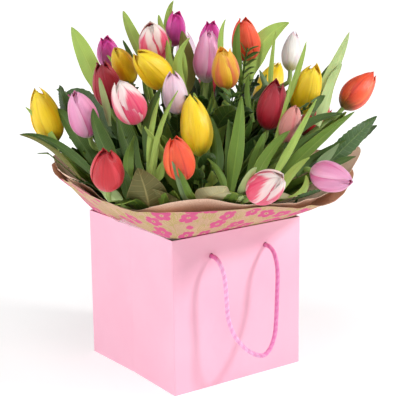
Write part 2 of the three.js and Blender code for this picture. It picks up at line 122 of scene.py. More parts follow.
class Piece:
    """The faces of one visible piece, gathered before its mesh is made."""

    def __init__(self):
        self.points, self.faces, self.uv, self.side = [], [], [], []
        self.count = 0

    def put(self, points, faces, uv, side):
        """Adds points, faces on them, and each point's texture place and side."""
        self.points.append(points)
        self.faces += [[self.count + i for i in face] for face in faces]
        self.uv.append(uv)
        self.side.append(side)
        self.count += len(points)

    def shell(self, grid, uv, thickness, closed=False):
        """A sheet on a grid of points, rows along and columns across, with side 1 on its outer face."""
        rows, cols, _ = grid.shape
        if closed:
            across = np.roll(grid, -1, axis=1) - np.roll(grid, 1, axis=1)
        else:
            across = np.gradient(grid, axis=1)
        normal = unit(np.cross(across, np.gradient(grid, axis=0))) * thickness / 2
        under = rows * cols
        index = np.arange(under).reshape(rows, cols)
        left = index if closed else index[:, :-1]
        beside = np.roll(index, -1, axis=1) if closed else index[:, 1:]
        a, b, c, d = (x.ravel() for x in (left[:-1], beside[:-1], beside[1:], left[1:]))
        faces = [*zip(a, b, c, d), *zip(d + under, c + under, b + under, a + under)]
        edges = [(beside[0], left[0]), (left[-1], beside[-1])]
        if not closed:
            edges += [(index[:-1, 0], index[1:, 0]), (index[1:, -1], index[:-1, -1])]
        for start, end in edges:
            faces += zip(start, end, end + under, start + under)
        points = np.concatenate([(grid + normal).reshape(-1, 3), (grid - normal).reshape(-1, 3)])
        side = np.repeat([1.0, 0.0], under)
        self.put(points, faces, np.tile(uv.reshape(-1, 2), (2, 1)), side)

    def tube(self, path, radius, sides, uv_turns=1.0):
        """A capped tube along a path; radius is one number or one for each point."""
        n, b = frames_along(path)
        turn = np.linspace(0, 2 * math.pi, sides, endpoint=False)
        radius = np.broadcast_to(radius, len(path))[:, None, None]
        ring = n[:, None] * np.cos(turn)[None, :, None] + b[:, None] * np.sin(turn)[None, :, None]
        grid = path[:, None] + ring * radius
        index = np.arange(grid.shape[0] * sides).reshape(-1, sides)
        beside = np.roll(index, -1, axis=1)
        faces = [*zip(*(x.ravel() for x in (index[:-1], beside[:-1], beside[1:], index[1:])))]
        faces += [index[0][::-1].tolist(), index[-1].tolist()]
        run = run_along(path)
        uv = np.stack(np.broadcast_arrays((turn / (2 * math.pi) * uv_turns)[None], run[:, None]), -1)
        self.put(grid.reshape(-1, 3), faces, uv.reshape(-1, 2), np.ones(index.size))

    def strands(self, path, count, strand, offset, lay, sides=7):
        """A laid rope: strands of a diameter that wind round a path, one turn in each lay."""
        n, b = frames_along(path)
        run = run_along(path)
        for k in range(count):
            turn = (2 * math.pi * (run / lay + k / count))[:, None]
            self.tube(path + (n * np.cos(turn) + b * np.sin(turn)) * offset, strand / 2, sides)

    def make(self, name, material, body, slot, replaced=()):
        """The finished piece, on its body, hiding the nodes that it stands for; its slot is not used."""
        mesh = bpy.data.meshes.new(name)
        mesh.from_pydata(np.concatenate(self.points), [], self.faces)
        where = np.concatenate(self.uv)
        loops = np.zeros(len(mesh.loops), int)
        mesh.loops.foreach_get("vertex_index", loops)
        mesh.uv_layers.new(name="UVMap").data.foreach_set("uv", where[loops].ravel())
        side = mesh.attributes.new("side", "FLOAT", "POINT")
        side.data.foreach_set("value", np.concatenate(self.side).astype(np.float32))
        mesh.polygons.foreach_set("use_smooth", np.ones(len(mesh.polygons), bool))
        mesh.set_sharp_from_angle(angle=math.radians(50))
        obj = bpy.data.objects.new(name, mesh)
        bpy.context.scene.collection.objects.link(obj)
        obj.data.materials.append(material)
        if body:
            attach(obj, body)
        if replaced:
            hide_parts(*replaced)
        return obj


# ---------------------------------------------------------------- materials
def srgb(red, green, blue):
    """A linear colour from screen values of 0 to 255."""
    shares = [v / 255 for v in (red, green, blue)]
    return (*[s / 12.92 if s <= 0.04045 else ((s + 0.055) / 1.055) ** 2.4 for s in shares], 1.0)


class Nodes:
    """A node tree under construction."""

    def __init__(self, tree):
        self.tree = tree

    def node(self, kind, *inputs, **settings):
        """A new node, its inputs given in order as values, sockets or None."""
        made = self.tree.nodes.new("ShaderNode" + kind)
        for key, value in settings.items():
            setattr(made, key, value)
        for socket, value in zip(made.inputs, inputs):
            self.link(socket, value)
        return made

    def link(self, socket, value):
        if isinstance(value, bpy.types.NodeSocket):
            self.tree.links.new(value, socket)
        elif value is not None:
            socket.default_value = value

    def math(self, operation, *values):
        return self.node("Math", *values, operation=operation).outputs[0]

    def plus(self, a, b):
        return self.math("ADD", a, b)

    def minus(self, a, b):
        return self.math("SUBTRACT", a, b)

    def times(self, a, b):
        return self.math("MULTIPLY", a, b)

    def most(self, a, b):
        return self.math("MAXIMUM", a, b)

    def absolute(self, value):
        return self.math("ABSOLUTE", value)

    def vector(self, operation, *values):
        return self.node("VectorMath", *values, operation=operation).outputs[0]

    def step(self, value, low, high, to_low=0.0, to_high=1.0):
        """A smooth step of a value from low to high."""
        made = self.node("MapRange", value, low, high, to_low, to_high, interpolation_type="SMOOTHSTEP")
        return made.outputs[0]

    def mix(self, share, a, b, blend="MIX"):
        """Colour a where share is 0 and b where it is 1."""
        made = self.node("Mix", data_type="RGBA", blend_type=blend)
        for index, value in ((0, share), (6, a), (7, b)):
            self.link(made.inputs[index], value)
        return made.outputs[2]

    def uv(self):
        return self.node("UVMap").outputs[0]

    def vector_length(self, vector):
        return self.node("VectorMath", vector, operation="LENGTH").outputs["Value"]

    def split(self, vector):
        made = self.node("SeparateXYZ", vector)
        return made.outputs[0], made.outputs[1], made.outputs[2]

    def join(self, x, y, z=0.0):
        return self.node("CombineXYZ", x, y, z).outputs[0]

    def place(self):
        """Places on the piece, in metres."""
        return self.node("TexCoord").outputs["Object"]

    def noise(self, vector, scale, detail=3.0):
        made = self.node("TexNoise", vector)
        made.inputs["Scale"].default_value = scale
        made.inputs["Detail"].default_value = detail
        return made.outputs[0]


class Finish(Nodes):
    """A node material under construction."""

    def __init__(self, name, **constants):
        self.material = bpy.data.materials.new(name)
        self.material.use_nodes = True
        super().__init__(self.material.node_tree)
        self.shader = self.tree.nodes["Principled BSDF"]
        for socket, value in constants.items():
            self.shader.inputs[socket.replace("_", " ")].default_value = value

    def side(self):
        return self.node("Attribute", attribute_name="side").outputs["Fac"]

    def tone(self):
        """A different share for each separate piece of a mesh."""
        return self.node("NewGeometry").outputs["Random Per Island"]

    def finish(self, colour, roughness=None, height=None, depth=0.0):
        """Joins colour, roughness and a bump of a depth in metres to the shader."""
        self.link(self.shader.inputs["Base Color"], colour)
        self.link(self.shader.inputs["Roughness"], roughness)
        if height is not None:
            bump = self.node("Bump")
            bump.inputs["Strength"].default_value = 1.0
            bump.inputs["Distance"].default_value = depth
            self.link(bump.inputs["Height"], height)
            self.link(self.shader.inputs["Normal"], bump.outputs[0])
        return self.material


def card_finish(name, colour, deep, gloss):
    """Laminated card: nearly even colour, a soft sheen and the faint unevenness of its board."""
    f = Finish(name, Specular_IOR_Level=gloss)
    place = f.place()
    cloud = f.noise(place, 14, 2)
    fibre = f.noise(place, 1500, 2)
    shade = f.plus(f.times(cloud, 0.7), f.times(fibre, 0.3))
    tint = f.mix(f.step(shade, 0.35, 0.65), srgb(*deep), srgb(*colour))
    rough = f.step(f.noise(place, 90, 4), 0.3, 0.7, 0.42, 0.52)
    height = f.plus(f.noise(place, 25, 2), f.times(fibre, 0.06))
    return f.finish(tint, rough, height, 0.0012)


def rope_finish(name, light, mid, deep):
    """Satin rope: fine threads that run along each strand, some strands a deeper pink, and painted shade of
    deep pink near the holes.
    """
    f = Finish(name, Sheen_Weight=0.25, Sheen_Roughness=0.4, Subsurface_Weight=0.08, Subsurface_Scale=0.001)
    turn, run, _ = f.split(f.uv())
    threads = f.noise(f.join(f.times(turn, 40.0), f.times(run, 350.0)), 1.0, 2)
    tint = f.mix(f.step(threads, 0.35, 0.7), srgb(*mid), srgb(*light))
    tint = f.mix(f.step(f.tone(), 0.35, 0.6, 0.0, 0.28), tint, srgb(*deep))
    # Painted shade: deep pink over each strand's first 8 to 30 mm (by a hole, and all of a knot) and from
    # 185 mm along (the upper part of a handle's other leg).
    painted_shade = f.most(f.step(run, 0.030, 0.008), f.step(run, 0.185, 0.240, 0.0, 0.75))
    hot = f.times(painted_shade, f.step(threads, 0.25, 0.75, 1.0, 0.55))
    tint = f.mix(hot, tint, srgb(*deep))
    return f.finish(tint, f.step(threads, 0.3, 0.7, 0.6, 0.42), threads, 0.0003)


def paper_colour(f, base, deep, place):
    """Kraft: short fibres, flecks and slow clouds of tone."""
    fibres = f.noise(f.vector("MULTIPLY", place, (900, 900, 260)), 1.0, 3)
    flecks = f.noise(place, 700, 2)
    cloud = f.noise(place, 22, 3)
    tint = f.mix(f.step(fibres, 0.35, 0.7), srgb(*deep), srgb(*base))
    tint = f.mix(f.step(flecks, 0.66, 0.74, 0.0, 0.45), tint, srgb(*[v * 0.72 for v in base]))
    tint = f.mix(f.step(cloud, 0.35, 0.65, 0.0, 0.22), tint, srgb(*[min(v * 1.09, 255) for v in base]))
    return tint, fibres, cloud


def kraft_finish(name, base, deep):
    """Plain kraft paper with shallow creases."""
    f = Finish(name, Specular_IOR_Level=0.25)
    place = f.place()
    tint, fibres, _ = paper_colour(f, base, deep, place)
    creases = f.noise(place, 60, 5)
    height = f.plus(creases, f.times(fibres, 0.05))
    return f.finish(tint, f.step(fibres, 0.3, 0.7, 0.88, 0.74), height, 0.002)


PRINT_BLUR = 0.00025  # half the width over which a printed edge fades, in metres
FULL_TURN = 6.283
FLOWER_RADIUS = 0.0088
PRINTED_LEAF = 0.0062  # half the length of a printed leaf
PRINTED_LEAF_WIDTH = 0.0027


def scattered(f, where, cell, offset, looseness):
    """One place in each cell: the way from it, counted in cells, and three random shares."""
    scaled = f.vector("ADD", f.vector("MULTIPLY", where, (1 / cell, 1 / cell, 0)), offset)
    cells = f.node("TexVoronoi", scaled, voronoi_dimensions="2D")
    cells.inputs["Scale"].default_value = 1.0
    cells.inputs["Randomness"].default_value = looseness
    return f.vector("SUBTRACT", scaled, cells.outputs["Position"]), f.split(cells.outputs["Color"])


def flower_print(f, where, cell, offset):
    """Printed flowers and dots: shares of petal or dot and of seed, and the distance to the middle."""
    local, (pick, spin, size) = scattered(f, where, cell, offset, 0.62)
    x, y, _ = f.split(local)
    reach = f.times(f.vector_length(local), cell)

    def within(radius, blur=PRINT_BLUR):
        return f.step(f.minus(radius, reach), -blur, blur)

    angle = f.plus(f.math("ARCTAN2", y, x), f.times(spin, FULL_TURN))
    lobe = f.math("POWER", f.absolute(f.math("COSINE", f.times(angle, 2.5))), 0.55)
    radius = f.times(f.plus(f.times(lobe, 0.38), 0.62), FLOWER_RADIUS)
    radius = f.times(radius, f.plus(f.times(size, 0.25), 0.85))
    hollow = within(f.plus(f.times(lobe, 0.0007), 0.0014))
    seed = within(0.0007, 0.0002)
    bloom = f.step(pick, 0.24, 0.25)
    flower = f.times(f.minus(within(radius), hollow), bloom)
    egg = f.plus(f.times(f.absolute(f.math("COSINE", angle)), 0.0016), 0.0022)
    dot = f.times(within(egg), f.minus(1.0, bloom))
    return f.most(flower, dot), f.times(seed, bloom), reach


def leaf_print(f, where, cell, offset):
    """Printed leaves, drawn as thin outlines with a midrib."""
    local, (_, spin, _) = scattered(f, where, cell, offset, 0.8)
    x, y, _ = f.split(local)
    angle = f.times(spin, FULL_TURN)
    cos, sin = f.math("COSINE", angle), f.math("SINE", angle)
    along = f.times(f.plus(f.times(x, cos), f.times(y, sin)), cell)
    over = f.times(f.minus(f.times(y, cos), f.times(x, sin)), cell)
    share = f.absolute(f.math("DIVIDE", along, PRINTED_LEAF))
    inside = f.minus(1.0, f.math("POWER", share, 2.0))
    width = f.times(f.most(inside, 0.0), PRINTED_LEAF_WIDTH)
    outline = f.absolute(f.minus(f.absolute(over), width))
    line = f.step(f.math("MINIMUM", outline, f.absolute(over)), 0.0006, 0.0003)
    return f.times(line, f.step(inside, -0.02, 0.05))


def printed_finish(name, base, deep, plain):
    """Kraft paper with a generic print of small flowers outside and bare kraft inside."""
    f = Finish(name, Specular_IOR_Level=0.3)
    place, where = f.place(), f.uv()
    tint, fibres, _ = paper_colour(f, base, deep, place)
    bare, _, _ = paper_colour(f, plain, [v * 0.85 for v in plain], place)
    olive, pink, hot = srgb(176, 164, 88), srgb(208, 74, 134), srgb(168, 104, 78)
    drift = f.node("TexNoise", where, None, 45.0, 1.0).outputs["Color"]
    swayed = f.vector("ADD", where, f.vector("MULTIPLY", drift, (0.02, 0.02, 0)))
    vines = f.node("TexVoronoi", swayed, feature="DISTANCE_TO_EDGE", voronoi_dimensions="2D")
    vines.inputs["Scale"].default_value = 42.0
    vine = f.step(vines.outputs["Distance"], 0.022, 0.010, 0.0, 0.75)
    small = leaf_print(f, where, 0.014, (3.3, 1.7, 0))
    large = leaf_print(f, where, 0.017, (8.1, 5.2, 0))
    flowers, seed, reach = flower_print(f, where, 0.0205, (0.4, 0.2, 0))
    clear = f.step(reach, 0.0080, 0.0090)
    lines = f.times(f.most(vine, f.most(small, large)), clear)
    drawn = f.mix(f.times(lines, 0.85), tint, olive)
    ink = f.times(f.minus(flowers, f.times(fibres, 0.12)), 0.98)
    drawn = f.mix(ink, drawn, pink)
    drawn = f.mix(seed, drawn, hot)
    height = f.plus(f.noise(place, 60, 5), f.times(fibres, 0.05))
    rough = f.step(fibres, 0.3, 0.7, 0.8, 0.66)
    return f.finish(f.mix(f.side(), bare, drawn), rough, height, 0.0018)


def film_finish(name):
    """Clear florist's film with crinkles."""
    f = Finish(name, Alpha=0.24, Specular_IOR_Level=0.8, Coat_Weight=0.5, Coat_Roughness=0.08)
    place = f.place()
    crinkle = f.noise(f.vector("MULTIPLY", place, (90, 90, 30)), 1.0, 5)
    tint = f.mix(f.step(crinkle, 0.3, 0.7), srgb(232, 238, 244), srgb(252, 252, 255))
    return f.finish(tint, f.step(crinkle, 0.3, 0.7, 0.06, 0.2), crinkle, 0.003)


def twine_finish(name, light, deep):
    """Jute twine with rough fibres."""
    f = Finish(name, Specular_IOR_Level=0.2, Sheen_Weight=0.2)
    turn, run, _ = f.split(f.uv())
    threads = f.noise(f.join(f.times(turn, 14.0), f.times(run, 260.0)), 1.0, 4)
    tint = f.mix(f.step(threads, 0.3, 0.7), srgb(*deep), srgb(*light))
    return f.finish(tint, f.step(threads, 0.3, 0.7, 0.95, 0.8), threads, 0.0005)


def grain(f, across, along, seed, across_scale, along_scale, detail):
    """Streaks along a petal or a leaf, different on each one."""
    return f.noise(f.join(f.times(across, across_scale), f.times(along, along_scale), seed), 1.0, detail)


def petal_finish(name, foot, body, edge, tip, flame=None, reach=0.78, breadth=0.72, rough=0.38):
    """A petal: streaks that run to the tip, a foot, an edge and a tip of their own colour, and a flame."""
    f = Finish(name, Subsurface_Weight=0.22, Subsurface_Scale=0.0035, Sheen_Weight=0.12)
    f.shader.inputs["Sheen Roughness"].default_value = 0.35
    f.shader.inputs["Subsurface Radius"].default_value = (1.0, 0.55, 0.4)
    across, along, _ = f.split(f.uv())
    off = f.absolute(f.minus(f.times(across, 2.0), 1.0))
    seed = f.times(f.tone(), 37.0)
    fine = grain(f, across, along, seed, 34.0, 2.2, 4)
    wide = grain(f, across, along, seed, 6.0, 1.6, 2)
    wobble = f.minus(fine, 0.5)
    rim = f.step(f.plus(off, f.times(wobble, 0.5)), 0.55, 1.0)
    tint = f.mix(rim, srgb(*body), srgb(*edge))
    top = f.step(f.plus(along, f.times(wobble, 0.35)), 0.72, 1.0)
    tint = f.mix(top, tint, srgb(*tip))
    if flame:
        allowed = f.minus(1.0, f.math("POWER", f.math("DIVIDE", along, reach), 2.4))
        spread = f.minus(f.times(allowed, breadth), off)
        blaze = f.step(f.plus(spread, f.times(wobble, 0.55)), -0.14, 0.22)
        tint = f.mix(blaze, tint, srgb(*flame))
    base = f.step(f.plus(along, f.times(wobble, 0.12)), 0.2, 0.03)
    tint = f.mix(base, tint, srgb(*foot))
    shade = f.plus(f.times(fine, 0.45), f.times(wide, 0.55))
    tint = f.mix(f.step(shade, 0.62, 0.36, 0.0, 0.22), tint, srgb(*[v * 0.8 for v in body]))
    rib = f.step(off, 0.09, 0.0, 0.0, 0.22)
    tint = f.mix(rib, tint, srgb(*[v * 0.72 for v in (flame or body)]))
    height = f.plus(f.times(fine, 0.7), f.times(wide, 0.6))
    height = f.minus(height, f.times(rib, 1.4))
    return f.finish(tint, f.step(fine, 0.3, 0.7, rough + 0.08, rough - 0.06), height, 0.0011)


def leaf_finish(name, face, deep, back, vein, pinnate=False, rough=0.42, shine=0.3):
    """A leaf: long or feathered veins, a pale midrib, clouds of tone and a duller back."""
    f = Finish(name, Specular_IOR_Level=shine, Subsurface_Weight=0.08, Subsurface_Scale=0.002)
    across, along, _ = f.split(f.uv())
    tone = f.tone()
    off = f.absolute(f.minus(f.times(across, 2.0), 1.0))
    seed = f.times(tone, 53.0)
    streak = grain(f, across, along, seed, 22.0, 25.0, 3)
    cloud = grain(f, across, along, seed, 3.0, 45.0, 3)
    if pinnate:
        path = f.minus(f.times(along, 160.0), f.times(off, 0.9))
        wave = f.absolute(f.minus(f.math("FRACT", path), 0.5))
        veins = f.step(wave, 0.09, 0.0, 0.0, 0.55)
    else:
        wave = f.math("SINE", f.times(across, 88.0))
        veins = f.step(wave, 0.2, 1.0, 0.0, 0.3)
    rib = f.step(off, 0.075, 0.02)
    veins = f.most(veins, f.times(rib, 0.9 if pinnate else 0.35))
    tint = f.mix(f.step(cloud, 0.32, 0.68), srgb(*deep), srgb(*face))
    tint = f.mix(f.step(streak, 0.4, 0.75, 0.0, 0.35), tint, srgb(*[v * 0.8 for v in deep]))
    tint = f.mix(f.step(tone, 0.0, 1.0, 0.0, 0.35), tint, srgb(*[(a + b) / 2 for a, b in zip(face, back)]))
    tint = f.mix(f.step(f.side(), 1.0, 0.0, 0.0, 0.72), tint, srgb(*back))
    tint = f.mix(veins, tint, srgb(*vein))
    tint = f.mix(f.step(off, 0.93, 1.0, 0.0, 0.6), tint, srgb(*vein))
    height = f.minus(f.times(streak, 0.5), veins)
    return f.finish(tint, f.step(cloud, 0.3, 0.7, rough, rough + 0.12), height, 0.0005)


# ---------------------------------------------------------------- rope handles
STRAND, STRAND_OFFSET, LAY = 0.0025, 0.00145, 0.0078
HOLE_X, HOLE_Y, HOLE_Z = 0.038, -HALF, 0.1545
KNOT_SCALE = 0.00125
KNOT_INSET = 0.0026 + 0.006  # from the panel's outer face to the middle of a knot
# Along the panel, out from it and down from the holes, in millimetres.
HANDLE_ROUTE = [
    (-38, 0.4, 0), (-38, 2.8, 0), (-38, 9, 0.8), (-37.8, 17, 6.5), (-37, 23, 19), (-36.5, 25, 34),
    (-35.5, 25.5, 51), (-34, 26, 68), (-30, 30, 85), (-23, 36, 98), (-13.5, 41, 107.5), (-2.5, 44.5, 112.5),
    (6, 44.5, 111), (15, 42, 104), (23, 37.5, 92.5), (29, 32, 78.5), (33, 28, 63.5), (35.5, 25.5, 48),
    (36.5, 25, 32), (37, 23, 18.5), (37.8, 17, 6.5), (38, 9, 0.8), (38, 2.8, 0), (38, 0.4, 0),
]
loop = np.linspace(0, 2 * math.pi, 90)
trefoil = np.stack(
    [
        np.sin(loop) + 2 * np.sin(2 * loop),
        0.9 * np.sin(3 * loop),
        np.cos(loop) - 2 * np.cos(2 * loop),
    ],
    axis=1,
)
rope_pink = rope_finish("rope_pink_satin", (255, 214, 242), (247, 172, 220), (232, 80, 164))
route = [(x * MM, HOLE_Y - out * MM, HOLE_Z - down * MM) for x, out, down in HANDLE_ROUTE]
for place, mirror in (("front", 1), ("back", -1)):
    path = smooth_path(route, 0.0011) * (mirror, mirror, 1)
    handle = Piece()
    handle.strands(path, 4, STRAND, STRAND_OFFSET, LAY)
    body = place + "_handle"
    rope = handle.make(body + "_rope", rope_pink, None, "rope_pink", [body + "_cord"])
    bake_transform(rope)
    for end, x in (("left", -HOLE_X), ("right", HOLE_X)):
        ball = trefoil * KNOT_SCALE + (x, HOLE_Y + KNOT_INSET, HOLE_Z)
        tail = np.linspace((x, HOLE_Y + 0.0001, HOLE_Z), (x, HOLE_Y + 0.0085, HOLE_Z), 12)
        knot = Piece()
        knot.strands(ball * (mirror, mirror, 1), 3, 0.0017, 0.0009, 0.006, 6)
        knot.strands(tail * (mirror, mirror, 1), 4, 0.0021, 0.0013, LAY)
        name = f"{place}_knot_{end}"
        knot.make(name + "_rope", rope_pink, "box", "rope_pink", [name])

# ---------------------------------------------------------------- carton
BOARD = 0.001
CREASE = 0.0025  # how far a gusset's crease lies inside its plane
CORNER = 0.0014  # radius of the folded corners
HOLE_RADIUS = 0.0030
carton_pink = card_finish("carton_pink_laminate", (250, 190, 211), (248, 184, 206), 0.4)


def carton_outline():
    """The carton's plan as points and outward directions, with fine steps at its rounded corners."""
    points, outward = [], []
    for quarter in range(4):
        turn = quarter * math.pi / 2
        spin = np.array([[math.cos(turn), -math.sin(turn)], [math.sin(turn), math.cos(turn)]])
        for k in range(5):
            angle = (k / 4) * math.pi / 2
            arm = np.array([math.cos(angle), math.sin(angle)])
            points.append(spin @ (np.full(2, HALF - CORNER) + arm * CORNER))
            outward.append(spin @ arm)
        for share in np.linspace(0, 1, 62)[1:-1]:
            y_run = HALF - CORNER
            points.append(spin @ np.array([y_run - 2 * y_run * share, HALF]))
            outward.append(spin @ np.array([0.0, 1.0]))
    return np.array(points), np.array(outward)


def carton_wall():
    """Rings of points up the carton's outside and down its inside."""
    plan, facing = carton_outline()
    gusset = np.abs(facing[:, 0]) > 0.99
    depth = np.abs(plan[:, 1])
    inward = CREASE * (1 - depth / HALF) + 0.0009 * np.exp(-((plan[:, 1] / 0.0013) ** 2))
    middle_rows = np.linspace(0.0016, RIM - 0.0006, 60)
    rows = []
    for z in np.concatenate([[0, 0.0004], middle_rows, [RIM - 0.0001, RIM]]):
        fold = np.exp(-(((z - (HALF - depth)) / 0.0012) ** 2)) * 0.00035
        sway = np.array([noise.noise(Vector((x * 9, y * 9, z * 9))) for x, y in plan]) * 0.0005
        shift = np.where(gusset, -inward - fold, np.minimum(sway, 0) * (1 - gusset))
        if z in (0, RIM):
            shift = shift - 0.0003
        rows.append(np.column_stack([plan + facing * shift[:, None], np.full(len(plan), z)]))
    outer = np.array(rows)
    inner = outer[::-1].copy()
    inner[..., :2] -= facing * BOARD
    inner[..., 2] = np.clip(inner[..., 2], BOARD, RIM)
    return np.concatenate([outer, inner[1:-1]])


wall = carton_wall()
size = wall.shape[1]
index = np.arange(wall.shape[0] * size).reshape(-1, size)
beside = np.roll(index, -1, axis=1)
carton = Piece()
faces = [*zip(*(x.ravel() for x in (beside[:-1], index[:-1], index[1:], beside[1:])))]
faces += [index[0].tolist(), index[-1][::-1].tolist()]
run_length = np.linspace(0, 8 * HALF, size)
carton_uv = np.stack(np.broadcast_arrays(run_length[None], wall[..., 2]), -1).reshape(-1, 2)
carton.put(wall.reshape(-1, 3), faces, carton_uv, np.ones(index.size))
sides = ["front_panel", "back_panel", "left_gusset", "right_gusset", "base_panel"]
carton_obj = carton.make("carton", carton_pink, None, "carton_pink", sides)


def punch(obj):
    """Cuts the four rope holes into the carton's mesh."""
    drills = []
    for x in (-HOLE_X, HOLE_X):
        for y in (-HALF, HALF):
            drill = Piece()
            reach = np.linspace((x, y - 0.004, HOLE_Z), (x, y + 0.004, HOLE_Z), 3)
            drill.tube(reach, HOLE_RADIUS, 24)
            drills.append(drill.make(f"drill_{len(drills)}", carton_pink, "box", "carton_pink"))
            cut = obj.modifiers.new("hole", "BOOLEAN")
            cut.object, cut.solver = drills[-1], "EXACT"
    bpy.context.view_layer.update()
    evaluated = obj.evaluated_get(bpy.context.evaluated_depsgraph_get())
    punched = bpy.data.meshes.new_from_object(evaluated)
    obj.modifiers.clear()
    obj.data = punched
    for drill in drills:
        bpy.data.objects.remove(drill)
    obj.data.set_sharp_from_angle(angle=math.radians(40))


punch(carton_obj)
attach(carton_obj, "box")
inner_card = card_finish("inner_greyboard", (226, 219, 208), (206, 197, 184), 0.2)
for name in ("front_rim_stiffener", "back_rim_stiffener", "base_card"):
    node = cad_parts[name]
    node.data.materials.clear()
    node.data.materials.append(inner_card)
    rounding = node.modifiers.new("worn_edges", "BEVEL")
    rounding.width, rounding.segments, rounding.limit_method = 0.00025, 2, "ANGLE"

# ---------------------------------------------------------------- wrapping sheets
# Azimuth in degrees, reach from the axis and rise above the rim in millimetres of each upper edge.
PRINTED_EDGE = [
    (-178, 160, 62), (-171, 184, 70), (-165, 168, 52), (-158, 162, 45), (-148, 166, 42),
    (-136, 174, 46), (-122, 166, 43), (-106, 156, 40), (-92, 160, 39), (-78, 166, 33),
    (-64, 170, 28), (-50, 178, 34), (-34, 190, 47), (-14, 174, 52), (8, 160, 52),
    (30, 162, 54), (48, 174, 56), (70, 160, 52), (92, 152, 50), (114, 158, 52), (134, 170, 56),
    (154, 160, 54), (170, 154, 56),
]
PLAIN_EDGE = [
    (-175, 146, 54), (-165, 150, 44), (-156, 150, 39), (-148, 156, 40), (-134, 168, 54),
    (-120, 160, 55), (-104, 154, 44), (-86, 160, 41), (-66, 166, 38), (-50, 180, 52),
    (-34, 198, 74), (-14, 174, 62), (10, 156, 62), (45, 170, 68),
    (70, 156, 64), (92, 150, 62), (114, 154, 62), (134, 168, 66), (154, 158, 64), (172, 158, 66),
]
FILM_EDGE = [
    (-176, 108, 8), (-168, 116, 15), (-158, 118, 17), (-148, 116, 14), (-136, 106, 6),
    (-124, 96, -4), (-110, 84, -16), (-60, 82, -20), (0, 80, -18), (60, 82, -16),
    (110, 82, -14), (144, 90, -6), (157, 94, 2.6), (172, 102, 6),
]
COLUMNS = 360  # places round a sheet
PRINT_SCALE = 0.6  # how much of its size the print keeps from the rim outward
azimuths = np.linspace(-math.pi, math.pi, COLUMNS, endpoint=False)


def edge_at(edge):
    """Reach and height of an edge at each column, on a smooth closed curve, in metres."""
    knots = np.array(edge, float)
    wide = np.vstack([knots[-3:] - (360, 0, 0), knots, knots[:3] + (360, 0, 0)])
    slope = np.gradient(wide[:, 1:], wide[:, 0], axis=0)
    out = []
    for angle in np.degrees(azimuths):
        i = int(np.searchsorted(wide[:, 0], angle, side="right")) - 1
        span = wide[i + 1, 0] - wide[i, 0]
        t = (angle - wide[i, 0]) / span
        out.append(
            (2 * t**3 - 3 * t**2 + 1) * wide[i, 1:]
            + (t**3 - 2 * t**2 + t) * slope[i] * span
            + (3 * t**2 - 2 * t**3) * wide[i + 1, 1:]
            + (t**3 - t**2) * slope[i + 1] * span
        )
    return np.array(out).T * MM + np.array([[0], [RIM]])


def crumple(share, seed, scale):
    """Slow random waves round a sheet, the same for every sheet with the same seed."""
    x, y = np.cos(azimuths) * scale, np.sin(azimuths) * scale
    return np.array([noise.noise(Vector((a, b, share * 3 + seed))) for a, b in zip(x, y)])


def square(half, power):
    """Distance from the axis to a rounded square of a half width at each column."""
    parts = [np.abs(wave(azimuths) / half) ** power for wave in (np.cos, np.sin)]
    return (parts[0] + parts[1]) ** (-1 / power)


def wrap(name, material, slot, below, waist, layer, edge, thickness, waves):
    """A sheet gathered at the tie that fills the carton's mouth and turns out over its rim.

    Below the tie it follows the rows of reach and height in below. Waist is its reach at the tie,
    layer its distance from the outermost sheet, edge its upper edge and waves how much it waves.
    """
    reach, top = edge_at(edge)
    inside = square(HALF - 0.0042 - layer * 1.2, 9)
    over = square(HALF + 0.0006, 14)
    low, crest = RIM - 0.008, RIM + 0.0007 + layer
    out_share = ease(0.0006, 0.0026, top - RIM)
    reach = inside * (1 - out_share) + reach * out_share
    over = inside * (1 - out_share) + over * out_share
    grid, places = [], []
    run = np.zeros(COLUMNS)
    last = None

    def row(out, height):
        nonlocal run, last
        if last is not None:
            run = run + np.hypot(out - last[0], height - last[1])
        last = (out, height)
        grid.append(np.stack([out * np.cos(azimuths), out * np.sin(azimuths), height], -1))
        places.append(run)

    for out, height in below:
        row(np.full(COLUMNS, out), np.full(COLUMNS, height))
    pleat = 0.5 + 0.5 * np.sin(31 * azimuths + 5 * crumple(0, 2.0, 2.2))
    foot = np.minimum(low, top - 0.002)
    foot_reach = waist + (inside - waist) * (foot - TIE) / (low - TIE)
    for share in np.linspace(0, 1, 15)[:-1]:
        gathered = 0.0016 * pleat**2 * math.sin(math.pi * min(share * 1.15, 1)) ** 0.7
        row(waist + (foot_reach - waist) * share + gathered, TIE + (foot - TIE) * share)
    crest = np.minimum(crest, top - 0.001)
    bend_out = foot_reach * 0.55 + over * 0.45
    for share in np.linspace(0, 1, 8)[:-1]:
        a, b, c = (1 - share) ** 2, 2 * share * (1 - share), share**2
        row(foot_reach * a + bend_out * b + over * c, foot * a + crest * b + crest * c)
    for share in np.linspace(0, 1, 24):
        soft = ease(0.08, 1.0, share) * waves
        lift = soft * (0.0040 * crumple(share * 0.5, 5.0, 3.2) + 0.0016 * crumple(share, 9.0, 9.0))
        lift = lift - 0.0012 * math.sin(math.pi * share) * waves
        slope = np.arctan2(top - crest, np.maximum(reach - over, 1e-5))
        out = over + (reach - over) * share - np.sin(slope) * lift
        row(out, crest + (top - crest) * share + np.cos(slope) * lift)
    anchor = -12  # the collar row whose reach the print's radius agrees with
    places = np.array(places) - places[anchor] + np.linalg.norm(grid[anchor][:, :2], axis=1)
    drawn = np.where(places > HALF, HALF + (places - HALF) * PRINT_SCALE, places)
    flat = np.stack([drawn * np.cos(azimuths), drawn * np.sin(azimuths)], -1)
    piece = Piece()
    piece.shell(np.array(grid), flat, thickness, closed=True)
    return piece.make(name, material, "bouquet", slot, [name.replace("_sheet", "")])


